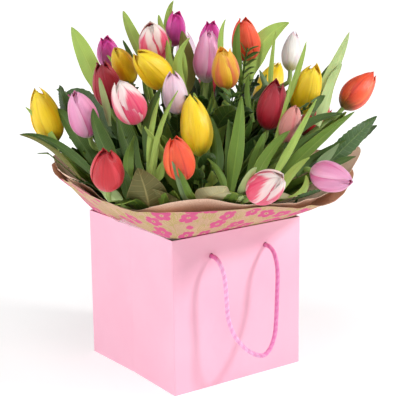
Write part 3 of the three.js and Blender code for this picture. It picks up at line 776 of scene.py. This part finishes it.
plain_kraft = kraft_finish("kraft_plain_paper", (252, 218, 196), (236, 196, 170))
printed_kraft = printed_finish("kraft_printed_paper", (206, 174, 142), (188, 154, 122), (214, 172, 144))
clear_film = film_finish("clear_film_crinkled")
plain_foot = [(0.0346, 0.060), (0.0332, 0.073)]
printed_foot = [(0.036, 0.060), (0.0345, 0.073)]
for name, material, slot, below, waist, layer, edge in (
    ("plain_kraft", plain_kraft, "kraft_plain", plain_foot, 0.0317, 0.0022, PLAIN_EDGE),
    ("printed_kraft", printed_kraft, "kraft_printed", printed_foot, 0.0331, 0.0010, PRINTED_EDGE),
):
    sheet = wrap(name + "_wrap_sheet", material, slot, below, waist, layer, edge, 0.0003, 1.0)
bag_profile = [
    (0.0005, 0.0031), (0.022, 0.0031), (0.042, 0.0031), (0.0515, 0.0065), (0.056, 0.0171),
    (0.057, 0.03), (0.056, 0.0441), (0.050, 0.060), (0.0425, 0.073), (0.037, 0.081),
]
bag = wrap("water_bag_sheet", clear_film, "clear_film", bag_profile, 0.0344, 0.0, FILM_EDGE, 0.0002, 0.15)

plain_reach, plain_top = edge_at(PLAIN_EDGE)
plain_start = square(HALF, 14)
LEAF_CLEAR = 0.007  # room between the rim and the leaves over it


def above_paper(points):
    """Points raised where they would be under the inside of the plain paper."""
    out = np.linalg.norm(points[..., :2], axis=-1)
    column = (np.arctan2(points[..., 1], points[..., 0]) + math.pi) / (2 * math.pi) * COLUMNS
    column = np.round(column).astype(int) % COLUMNS
    start, reach, top = plain_start[column] * 0.93, plain_reach[column], plain_top[column]
    cone = TIE + (RIM + LEAF_CLEAR - TIE) * np.clip((out - 0.030) / (start - 0.030), 0, 1)
    collar = (top - RIM) * np.clip((out - start) / (reach - start), 0, 1.15)
    moved = points.copy()
    moved[..., 2] = np.maximum(points[..., 2], cone + collar)
    return moved


# ---------------------------------------------------------------- ties
jute = twine_finish("jute_twine", (214, 186, 140), (158, 126, 84))
for name, ring, strand, turns in (("stem_twine", 0.0297, 0.0016, 3), ("wrap_twine", 0.0367, 0.0028, 1)):
    angle = np.linspace(0, 2 * math.pi * turns, 260 * turns)
    climb = (angle / (2 * math.pi) - turns / 2) * strand * (1 if turns > 1 else 0.3)
    coil = np.stack([ring * np.cos(angle), ring * np.sin(angle), TIE + climb], 1)
    tie = Piece()
    tie.strands(coil, 3, strand * 0.52, strand * 0.26, strand * 2.6, 6)
    tie.make(name + "_laid", jute, "bouquet", "twine", [name])

# ---------------------------------------------------------------- tulips
STEM = 0.0030  # radius
# Each variety: the share of its greatest radius that is left at its tips and how far they curl
# out; the colours of its foot, body, edge and tip; and a flame's colour, reach and breadth.
VARIETIES = {
    "yellow": ((0.12, 0.0), (196, 186, 40), (255, 210, 16), (255, 198, 6), (255, 222, 50)),
    "slim_yellow": ((0.12, 0.0), (190, 180, 40), (253, 205, 28), (246, 190, 12), (252, 214, 60)),
    "gold": (
        (0.36, 0.4), (212, 130, 40), (248, 172, 40), (255, 202, 40), (252, 190, 60),
        (236, 120, 74), 0.9, 0.5,
    ),
    "orange": (
        (0.26, 0.05), (120, 96, 30), (246, 84, 44), (252, 112, 58), (240, 72, 40),
        (226, 56, 34), 0.7, 0.3,
    ),
    "scarlet": ((0.30, 0.05), (110, 14, 24), (204, 34, 46), (222, 66, 78), (178, 20, 34)),
    "crimson": ((0.30, 0.2), (80, 8, 20), (170, 22, 44), (186, 40, 62), (140, 12, 32)),
    "pink": (
        (0.24, 0.05), (250, 226, 224), (240, 154, 194), (250, 184, 214), (244, 168, 206),
        (228, 116, 168), 0.75, 0.45,
    ),
    "blush": ((0.2, 0.05), (244, 232, 206), (248, 212, 226), (252, 228, 236), (246, 196, 216)),
    "magenta": ((0.36, 0.15), (246, 190, 226), (236, 84, 178), (244, 116, 196), (222, 50, 158)),
    "pink_and_white": (
        (0.24, 0.0), (206, 40, 92), (250, 214, 212), (248, 204, 204), (252, 234, 226),
        (234, 60, 104), 0.9, 0.95,
    ),
    "ivory": ((0.12, 0.0), (212, 206, 130), (250, 240, 232), (250, 228, 232), (246, 208, 220)),
    "salmon": ((0.12, 0.0), (170, 170, 110), (228, 150, 142), (214, 110, 112), (236, 160, 150)),
}
HABITS = {variety: habit for variety, (habit, *_) in VARIETIES.items()}
PETALS = {
    variety: petal_finish("petal_" + variety, *colours)
    for variety, (_, *colours) in VARIETIES.items()
}
# Radius of a closed head at shares of its length, against its greatest radius.
PROFILE = np.array(
    [
        (0, 0.1), (0.03, 0.34), (0.08, 0.56), (0.16, 0.78), (0.26, 0.93), (0.38, 1.0),
        (0.5, 0.98), (0.62, 0.9), (0.74, 0.77), (0.85, 0.59), (0.94, 0.36), (1, 0.12),
    ]
)
ROWS, ACROSS = 22, 13  # points of a petal


def tepal(length, radius, habit, inner, draw):
    """One petal on the +X side of an upright head, as rows from foot to tip, and its texture places."""
    tips, curl = habit
    t = np.linspace(0, 1, ROWS)[:, None]
    u = np.linspace(-1, 1, ACROSS)[None]
    belly = np.interp(t[:, 0], PROFILE[:, 0], PROFILE[:, 1])
    belly = np.convolve(np.pad(belly, 1, mode="edge"), (0.2, 0.6, 0.2), mode="valid")[:, None]
    closed = ease(0.45, 1.0, t)
    if inner:
        belly = belly * (1 - ease(0.86, 0.985, t))
    else:
        belly = belly * (1 - closed) + np.maximum(belly, tips) * closed
        belly = belly + curl * 0.4 * ease(0.8, 1.0, t)
    taper = 1 - t ** (draw.uniform(5.6, 8.5) if not inner else 40)
    spread = math.radians(draw.uniform(61, 68) if not inner else 64) * np.clip(taper, 0, 1) ** 0.7
    spread = spread * (0.78 + 0.22 * ease(0, 0.3, t))
    over = draw.uniform(0.045, 0.07) * u * (1 - closed * 0.3)
    cup = 0.915 + 0.06 * np.cos(u * math.pi / 2) - 0.03 * u**2 * ease(0.5, 1, t)
    rib = -0.03 * np.exp(-((u / 0.13) ** 2)) * ease(0.05, 0.3, t) * (1 - ease(0.88, 1, t))
    rib = rib + 0.012 * np.cos(u * 9.5) * ease(0.1, 0.4, t)
    crimp = 0.022 * np.sin(t * draw.uniform(6, 10) + u * 2.6 + draw.uniform(0, 6)) * np.abs(u) ** 2
    r = radius * (belly * (cup + over + rib) + crimp * (1 - closed * inner)) * (0.965 if inner else 1.0)
    r = np.maximum(r, 0.0002)
    angle = spread * u + draw.uniform(-0.03, 0.03)
    rise = t * length * (draw.uniform(0.99, 1.06) if not inner else draw.uniform(0.97, 1.0))
    rise = rise - 0.03 * length * np.abs(u) ** 2 * ease(0.5, 1.0, t) * (1 - t)
    grid = np.stack(np.broadcast_arrays(r * np.cos(angle), r * np.sin(angle), rise), -1)
    uv = np.stack(np.broadcast_arrays((u + 1) / 2, t), -1)
    return grid, uv


HEAD_SIDES = 8  # points in a ring of a CAD head
RINGS_DOWN = 0.425  # share of a head's length from its tip to the middle of its two upper rings


def head_of(points):
    """Foot, direction, length and radius of a tulip's head, from the points of its CAD node."""
    points = np.unique(np.round(points, 6), axis=0)
    # The tip is the far point whose neighbours form two even rings.
    far = points[np.argsort(-np.linalg.norm(points - (0, 0, TIE), axis=1))[:20]]
    gaps = np.sort(np.linalg.norm(far[:, None] - points[None], axis=2), axis=1)
    first, second = gaps[:, 1 : HEAD_SIDES + 1], gaps[:, HEAD_SIDES + 1 : 2 * HEAD_SIDES + 1]
    tip = far[np.argmin(first.std(axis=1) + second.std(axis=1))]
    near = points[np.argsort(np.linalg.norm(points - tip, axis=1))[1 : 2 * HEAD_SIDES + 1]]
    middle = near.mean(0)
    axis = unit(tip - middle)
    length = np.linalg.norm(tip - middle) / RINGS_DOWN
    along = (near - tip) @ axis
    radius = np.linalg.norm(near - tip - along[:, None] * axis, axis=1).max()
    return tip - axis * length, axis, length, radius


def stem_of(mesh, foot, axis):
    """Middle line of a tulip's stem: centres of level cuts through its CAD node, then the head's foot."""
    points = np.array([v.co for v in mesh.vertices])
    edges = np.array([e.vertices for e in mesh.edges])
    a, b = points[edges[:, 0]], points[edges[:, 1]]
    approach = foot - axis * 0.014
    line = []
    for z in np.arange(0.0145, approach[2] - 0.002, 0.012):
        crossing = (a[:, 2] - z) * (b[:, 2] - z) < 0
        share = ((z - a[crossing, 2]) / (b[crossing, 2] - a[crossing, 2]))[:, None]
        cut = a[crossing] + (b[crossing] - a[crossing]) * share
        cut = cut[(cut - foot) @ axis < -0.004]
        if len(cut):
            line.append((cut.min(0) + cut.max(0)) / 2)
    return np.array([*line, approach, foot + axis * 0.003])


stem_green = leaf_finish(
    "stem_green", (150, 172, 92), (112, 142, 62), (150, 172, 92), (170, 188, 120), rough=0.4
)
heads = {}  # foot, direction and stem line of each tulip
stems = Piece()
stem_nodes = sorted(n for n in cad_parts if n.startswith("tulip_") and "_leaf_" not in n)
for order, node in enumerate(stem_nodes):
    draw = random.Random(4100 + order)
    label = node.removeprefix("tulip_")
    variety = label.rsplit("_", 1)[0]
    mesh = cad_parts[node].data
    foot, axis, length, radius = head_of(np.array([v.co for v in mesh.vertices]))
    line = smooth_path(stem_of(mesh, foot, axis), 0.006)
    heads[label] = (foot, axis, line)
    girth = STEM * (0.92 + 0.08 * np.cos(np.linspace(0, 9, len(line)) + order))
    stems.tube(line, girth, 10)
    turn = draw.uniform(0, 2 * math.pi)
    sideways = unit(np.cross(axis, (0.3, 0.2, 1.0) if abs(axis[2]) < 0.95 else (1.0, 0, 0)))
    third = np.cross(axis, sideways)
    bloom = Piece()
    for k in range(6):
        inner_one = k % 2 == 1
        grid, uv = tepal(length, radius, HABITS[variety], inner_one, draw)
        angle = turn + k * math.pi / 3
        out = sideways * math.cos(angle) + third * math.sin(angle)
        round_way = np.cross(axis, out)
        grid = foot + grid[..., :1] * out + grid[..., 1:2] * round_way + grid[..., 2:] * axis
        bloom.shell(grid, uv, 0.0007)
    bloom.make("head_" + label, PETALS[variety], "bouquet", "petals_" + variety, [node])
stems.make("tulip_stems", stem_green, "bouquet", "leaf_green")

# ---------------------------------------------------------------- leaves
# Each tone: the colours of its face, its deep parts, its back and its veins; whether it is
# feathered; its roughness and its shine.
LEAF_LOOKS = {
    "light": ((156, 186, 70), (116, 152, 44), (162, 190, 94), (194, 212, 116)),
    "mid": ((84, 116, 26), (48, 80, 12), (98, 130, 46), (156, 178, 78)),
    "dark": ((54, 84, 20), (26, 50, 8), (66, 96, 32), (120, 144, 62)),
    "pale": ((170, 194, 118), (132, 164, 78), (182, 202, 138), (204, 218, 158)),
    "grey": ((104, 134, 84), (66, 98, 52), (130, 154, 106), (158, 176, 132)),
    "brown": ((116, 114, 44), (84, 82, 28), (122, 122, 58), (140, 134, 74)),
    "gloss": ((44, 80, 26), (18, 44, 12), (60, 90, 38), (92, 118, 54), True, 0.28, 0.5),
    "olive": ((112, 110, 62), (92, 90, 46), (118, 116, 70), (160, 152, 98), True, 0.5),
    "sage": ((190, 184, 142), (164, 160, 114), (192, 186, 144), (214, 204, 150), True, 0.55),
    "sprig": ((66, 102, 38), (34, 66, 20), (86, 118, 54), (116, 142, 70), True, 0.36),
}
LEAF_TONES = {tone: leaf_finish("leaf_" + tone, *look) for tone, look in LEAF_LOOKS.items()}
# Kind of blade ("a" long, "b" broad), foot, middle and tip as (x, y, rise above the rim) and width
# in millimetres, and tone. A row with a CAD node's name stands for that node.
LEAVES = [
    ("tulip_leaf_1", (-82, 57, 132), (-94, 78, 184), (-102, 95, 219), 25, "light"),
    ("tulip_leaf_2", (-17, 61, 163), (-32, 71, 203), (-42, 78, 235), 18, "light"),
    ("tulip_leaf_3", (2, 47, 177), (-2, 44, 220), (1, 36, 247), 11, "light"),
    ("tulip_leaf_4", (52, -36, 153), (76, -35, 197), (111, -41, 220), 28, "light"),
    ("tulip_leaf_5", (102, -95, 118), (135, -94, 168), (156, -96, 210), 16, "pale"),
    ("a", (-5, 40, 195), (-11, 44, 216), (-13, 46, 231), 8, "light"),
    ("a", (-43, 55, 168), (-49, 58, 189), (-53, 62, 203), 9, "dark"),
    ("a", (-63, 32, 149), (-72, 44, 174), (-79, 55, 188), 7, "light"),
    ("a", (-65, 33, 156), (-70, 39, 174), (-75, 46, 191), 8, "mid"),
    ("a", (-109, 3, 116), (-116, 2, 148), (-120, 4, 171), 10, "pale"),
    ("a", (-150, -44, 66), (-164, 5, 95), (-176, 49, 106), 11, "dark"),
    ("a", (-162, -21, 68), (-174, 24, 96), (-185, 74, 105), 6, "brown"),
    ("a", (-121, 11, 69), (-132, 43, 106), (-137, 71, 130), 24, "dark"),
    ("a", (-130, -56, 72), (-138, -25, 110), (-136, -9, 140), 21, "dark"),
    ("a", (-120, -75, 78), (-117, -40, 114), (-113, -19, 142), 26, "dark"),
    ("a", (-109, -71, 89), (-99, -65, 135), (-83, -64, 164), 14, "dark"),
    ("a", (-116, -90, 76), (-99, -84, 123), (-77, -87, 163), 6, "light"),
    ("a", (-116, -85, 77), (-106, -79, 123), (-94, -78, 157), 7, "light"),
    ("a", (-28, -41, 138), (-46, -41, 180), (-35, -49, 213), 12, "light"),
    ("a", (-29, -4, 157), (-34, -6, 185), (-36, -5, 207), 9, "light"),
    ("a", (-29, -28, 153), (-32, -33, 180), (-34, -31, 203), 8, "light"),
    ("a", (18, -37, 181), (20, -32, 208), (27, -31, 228), 8, "light"),
    ("a", (42, -42, 154), (34, -42, 194), (37, -44, 224), 11, "mid"),
    ("a", (75, -52, 139), (80, -49, 177), (87, -48, 213), 7, "light"),
    ("a", (69, -85, 125), (85, -90, 169), (96, -91, 203), 8, "light"),
    ("a", (101, -107, 108), (125, -99, 144), (142, -99, 175), 20, "pale"),
    ("a", (2, -145, 52), (48, -156, 96), (101, -168, 132), 16, "mid"),
    ("a", (31, -132, 95), (69, -134, 120), (112, -139, 125), 11, "dark"),
    ("a", (4, -149, 72), (38, -148, 96), (79, -158, 117), 15, "dark"),
    ("a", (2, -145, 39), (8, -170, 73), (22, -186, 94), 11, "light"),
    ("a", (14, -146, 33), (24, -173, 54), (24, -178, 73), 11, "light"),
    ("a", (-34, -159, 64), (-8, -153, 94), (18, -158, 119), 16, "mid"),
    ("a", (-12, -162, 66), (28, -153, 105), (60, -152, 148), 10, "light"),
    ("a", (-53, -146, 56), (-34, -135, 110), (-21, -125, 156), 18, "mid"),
    ("a", (-49, -137, 55), (-41, -130, 99), (-36, -121, 132), 11, "dark"),
    ("a", (-59, -148, 59), (-61, -140, 79), (-69, -129, 95), 8, "mid"),
    ("a", (-53, -121, 58), (-41, -105, 99), (-40, -94, 132), 16, "dark"),
    ("a", (-30, -144, 63), (-10, -139, 97), (1, -138, 117), 12, "mid"),
    ("a", (-39, -141, 35), (-45, -164, 71), (-39, -174, 89), 13, "pale"),
    ("a", (35, -73, 115), (33, -65, 144), (37, -62, 169), 9, "mid"),
    ("a", (74, -64, 131), (68, -53, 153), (65, -45, 169), 8, "grey"),
    ("a", (16, -127, 87), (34, -128, 134), (44, -128, 171), 5, "light"),
    ("a", (-85, -118, 38), (-104, -130, 73), (-120, -138, 100), 9, "grey"),
    ("a", (-80, -122, 36), (-98, -134, 64), (-116, -143, 93), 9, "mid"),
    ("a", (-109, -82, 65), (-104, -80, 92), (-88, -73, 122), 7, "light"),
    ("a", (-106, -85, 67), (-102, -87, 78), (-98, -88, 91), 11, "light"),
    ("a", (-128, -69, 70), (-125, -60, 90), (-111, -51, 113), 14, "mid"),
    ("a", (-65, -101, 62), (-49, -94, 96), (-34, -92, 119), 13, "mid"),
    ("a", (-5, -143, 70), (-4, -138, 87), (-8, -129, 108), 11, "dark"),
    ("a", (30, -155, 68), (62, -153, 83), (94, -163, 101), 14, "dark"),
    ("a", (-146, 53, 86), (-155, 72, 110), (-167, 92, 132), 10, "light"),
    ("b", (-116, -87, 31), (-126, -97, 59), (-132, -91, 87), 48, "olive"),
    ("b", (-83, -111, 34), (-106, -111, 52), (-123, -105, 65), 13, "olive"),
    ("b", (-70, -120, 27), (-69, -140, 48), (-59, -149, 67), 53, "sage"),
    ("b", (-32, -140, 31), (-8, -153, 43), (29, -157, 42), 28, "sage"),
    ("b", (-140, -70, 37), (-154, -73, 57), (-166, -67, 65), 17, "pale"),
    ("b", (8, 19, 139), (8, 21, 179), (3, 22, 213), 23, "brown"),
    ("b", (127, -76, 127), (140, -73, 151), (149, -80, 178), 20, "dark"),
    ("b", (69, -158, 74), (106, -159, 99), (142, -160, 122), 24, "gloss"),
    ("b", (54, -159, 76), (66, -162, 84), (81, -166, 99), 12, "grey"),
    ("b", (73, -161, 74), (88, -165, 79), (103, -169, 82), 8, "dark"),
    ("b", (27, -138, 22), (54, -153, 34), (84, -156, 44), 31, "gloss"),
    ("b", (-116, 81, 116), (-119, 89, 134), (-120, 96, 151), 19, "gloss"),
    ("b", (89, -111, 126), (101, -107, 136), (111, -107, 142), 12, "dark"),
    ("b", (-148, -28, 34), (-162, -27, 53), (-172, -16, 62), 15, "gloss"),
    ("b", (-141, -85, 53), (-137, -75, 68), (-135, -64, 85), 14, "dark"),
    ("sprig_1", (-98, 64, 50), (-146, 62, 90), (-183, 78, 104), 16, "dark"),
    ("sprig_2", (82, -110, 46), (112, -138, 84), (142, -160, 112), 28, "gloss"),
    ("sprig_3", (100, 62, 55), (150, 85, 115), (182, 96, 128), 32, "gloss"),
    ("sprig_4", (-22, 120, 50), (-42, 162, 112), (-62, 190, 126), 32, "gloss"),
]


FRONT = np.array([-0.57, -0.82, 0.0])  # the side of the bouquet that is arranged to be seen
LEAF_ROWS = 25  # points along a leaf


def leaf(piece, foot, middle, tip, width, broad, draw, tooth=0.0, front=0.0):
    """A blade along a curve: long and channelled, or broad, feathered and pointed.

    Its face looks away from the axis or, by a share, towards the front of the bouquet.
    """
    bend = np.array([foot, middle, tip], float)
    t = np.linspace(0, 1, LEAF_ROWS)[:, None]
    control = 2 * bend[1] - (bend[0] + bend[2]) / 2
    path = (1 - t) ** 2 * bend[0] + 2 * t * (1 - t) * control + t**2 * bend[2]
    ahead_of = unit(np.gradient(path, axis=0))
    halfway = path[LEAF_ROWS // 2]
    outward = unit(halfway * (1, 1, 0) + 1e-6) * (1 - front) + FRONT * front
    lean = draw.uniform(-0.5, 0.5) * (1 - 0.6 * front)
    outward = outward + np.array([-outward[1], outward[0], 0]) * lean
    across = unit(np.cross(ahead_of, outward))
    facing_out = np.cross(across, ahead_of)
    twist = draw.uniform(-0.5, 0.5) * (1 - 0.4 * front) * (t - 0.3)
    across, facing_out = (
        across * np.cos(twist) + facing_out * np.sin(twist),
        facing_out * np.cos(twist) - across * np.sin(twist),
    )
    count = 15 if broad else 11
    u = np.linspace(-1, 1, count)[None]
    if broad:
        outline = np.sin(math.pi * np.clip(t, 0, 1) ** 0.85) ** 0.78 * (1 - 0.25 * t)
        outline = outline + 0.02
        cup, sway = 0.16, 0.05
    else:
        outline = (0.42 + 0.58 * ease(0, 0.38, t)) * (1 - t**2.6) ** 0.8 + 0.012
        cup, sway = 0.34, 0.06
    half = width / 2 * outline
    phase = t * draw.uniform(5, 9) + draw.uniform(0, 6) + (u > 0) * 1.3
    edge_wave = sway * width * np.sin(phase) * np.abs(u) ** 2
    notch = 1 + tooth * (np.abs(u) > 0.99) * np.where(np.arange(LEAF_ROWS) % 2, 1, -1)[:, None]
    fold = -cup * half * (np.abs(u) ** 1.5) + 0.02 * width * np.exp(-((u / 0.12) ** 2))
    grid = (
        path[:, None]
        + across[:, None] * (half * u * notch * math.cos(cup * 0.8))[..., None]
        + facing_out[:, None] * (fold + edge_wave)[..., None]
    )
    grid = above_paper(grid)
    length = run_along(path)[-1]
    uv = np.stack(np.broadcast_arrays((u + 1) / 2, t * length), -1)
    piece.shell(grid[:, ::-1], uv[:, ::-1], 0.0006 if broad else 0.0008)


def from_rim(point):
    return np.array(point, float) * MM + (0, 0, RIM)


groups = {}


def group(key, tone):
    """The piece that gathers the leaves of one key, with its tone noted."""
    return groups.setdefault(key, (Piece(), tone))[0]


for order, (kind, foot, middle, tip, width, tone) in enumerate(LEAVES):
    draw = random.Random(900 + order)
    piece = group(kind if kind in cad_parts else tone, tone)
    foot, middle, tip = from_rim(foot), from_rim(middle), from_rim(tip)
    broad = kind == "b" or kind.startswith("sprig_")
    tooth = 0.05 if tone == "gloss" else 0.0
    leaf(piece, foot, middle, tip, width * MM, broad, draw, tooth, 0.75)
    if kind.startswith("sprig_"):
        start = unit(foot * (1, 1, 0)) * 0.0262 + (0, 0, TIE)
        bend = start * 0.35 + foot * 0.65 - (0, 0, 0.02)
        stalk = [start, bend, foot, foot * 0.8 + middle * 0.2]
        piece.tube(above_paper(smooth_path(stalk, 0.004)), 0.0014, 7)

# Leaves that grow on every tulip's stem, below its head.
for order, (_, (foot, axis, line)) in enumerate(sorted(heads.items())):
    draw = random.Random(7700 + order)
    for k in range(3):
        start = line[int(len(line) * draw.uniform(0.5, 0.66))]
        out = unit(start * (1, 1, 0) + 1e-6)
        spin = draw.choice((-1, 1)) * draw.uniform(0.25, 1.3)
        cos, sin = math.cos(spin), math.sin(spin)
        aside = np.array([out[0] * cos - out[1] * sin, out[0] * sin + out[1] * cos, 0])
        reach = draw.uniform(0.010, 0.030)
        top = foot + aside * reach - axis * draw.uniform(0.002, 0.022)
        middle = (start + top) / 2 + aside * reach * 0.55
        tone = draw.choice(("mid", "dark", "dark", "mid", "light"))
        leaf(group(tone, tone), start, middle, top, draw.uniform(0.020, 0.030), False, draw)

# Broad dark foliage that fills the bouquet's middle: a low ring on the paper, then a high one
# between the tulips.
LOW_LEAVES, HIGH_LEAVES = 110, 80
draw = random.Random(515)
for k in range(LOW_LEAVES + HIGH_LEAVES):
    azimuth = draw.uniform(-math.pi, math.pi)
    out = np.array([math.cos(azimuth), math.sin(azimuth), 0])
    if k < LOW_LEAVES:
        near, high = draw.uniform(0.045, 0.115), draw.uniform(0.022, 0.085)
    else:
        near, high = draw.uniform(0.015, 0.080), draw.uniform(0.070, 0.135)
    start = out * near + (0, 0, RIM + high - 0.004)
    size = draw.uniform(0.030, 0.046)
    swing = draw.uniform(-0.8, 0.8)
    way = np.array([math.cos(azimuth + swing), math.sin(azimuth + swing), 0])
    top = start + way * size * 0.8 + (0, 0, size * draw.uniform(0.25, 0.8))
    limit = 0.148 if top[2] > RIM + 0.05 else 0.128
    flat = math.hypot(top[0], top[1])
    if flat > limit:
        top[:2] *= limit / flat
    middle = (start + top) / 2 + (0, 0, 0.006)
    width = size * draw.uniform(0.45, 0.62)
    leaf(group("gloss", "gloss"), start, middle, top, width, True, draw, 0.04)

# Twigs with pairs of small narrow leaves.
TWIGS = [
    ((40, -36, 110), (44, -42, 168), (47, -46, 196)),
    ((22, -62, 96), (6, -70, 128), (2, -78, 152)),
    ((60, -80, 96), (70, -100, 122), (82, -118, 134)),
    ((-70, 90, 90), (-92, 112, 122), (-104, 124, 144)),
    ((70, 70, 96), (104, 96, 128), (122, 108, 150)),
    ((-20, 100, 110), (-10, 128, 142), (-6, 140, 166)),
]
twigs = Piece()
for order, bend in enumerate(TWIGS):
    draw = random.Random(330 + order)
    path = smooth_path([from_rim(point) for point in bend], 0.002)
    twigs.tube(path, 0.0009, 6)
    sideways, second = frames_along(path)
    for k in range(4, len(path) - 1, 4):
        for sense in (-1, 1):
            turn = k * 0.8 + draw.uniform(-0.3, 0.3)
            way = (sideways[k] * math.cos(turn) + second[k] * math.sin(turn)) * sense
            size = draw.uniform(0.016, 0.024) * (1 - 0.3 * k / len(path))
            top = path[k] + way * size * 0.8 + unit(path[-1] - path[0]) * size * 0.65
            middle = (path[k] + top) / 2 + (0, 0, 0.0015)
            leaf(twigs, path[k], middle, top, size * 0.34, True, draw)
twigs.make("leafy_twigs", LEAF_TONES["sprig"], "bouquet", "leaf_green")
for key, (piece, tone) in groups.items():
    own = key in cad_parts
    name = key + "_blade" if own else "leaves_" + key
    piece.make(name, LEAF_TONES[tone], "bouquet", "leaf_green", [key] if own else ())

# ---------------------------------------------------------------- floor and light
floor_mesh = bpy.data.meshes.new("floor")
floor_mesh.from_pydata([(-12, -12, 0), (12, -12, 0), (12, 12, 0), (-12, 12, 0)], [], [(0, 1, 2, 3)])
floor = bpy.data.objects.new("floor", floor_mesh)
bpy.context.scene.collection.objects.link(floor)
floor.location.z = -0.0002
pale = Finish(
    "floor_white", Base_Color=(0.55, 0.55, 0.55, 1), Roughness=0.9, Emission_Color=(1, 1, 1, 1)
)
glow = pale.node("MapRange", pale.vector_length(pale.place()), 0.3, 1.6, 0.60, 1.0)
pale.link(pale.shader.inputs["Emission Strength"], glow.outputs[0])
floor.data.materials.append(pale.material)

# The world is bright along the horizon, so that the floor's far edge doesn't show, and dim above.
world = bpy.data.worlds.new("studio")
bpy.context.scene.world = world
world.use_nodes = True
sky = Nodes(world.node_tree)
background = sky.tree.nodes["Background"]
background.inputs["Color"].default_value = (1, 1, 1, 1)
_, _, climb = sky.split(sky.node("TexCoord").outputs["Generated"])
dimming = sky.node("MapRange", climb, 0.12, 0.34, 1.0, 0.12)
sky.link(background.inputs["Strength"], dimming.outputs[0])


def soft_box(name, toward, distance, size, power):
    """A square soft light that faces the object from a direction."""
    light = bpy.data.lights.new(name, "AREA")
    light.size, light.energy = size, power
    lamp = bpy.data.objects.new(name, light)
    bpy.context.scene.collection.objects.link(lamp)
    way = Vector(toward).normalized()
    lamp.location = way * distance + Vector((0, 0, 0.2))
    lamp.rotation_euler = way.to_track_quat("Z", "Y").to_euler()


soft_box("key", (0.9, -1.0, 0.8), 1.8, 0.26, 20)
soft_box("top", (-0.25, -0.35, 1.0), 1.9, 0.8, 13)
soft_box("fill", (-1.0, 0.12, 0.45), 2.2, 1.0, 18)
bpy.context.scene.view_settings.view_transform = "Standard"
bpy.context.view_layer.update()
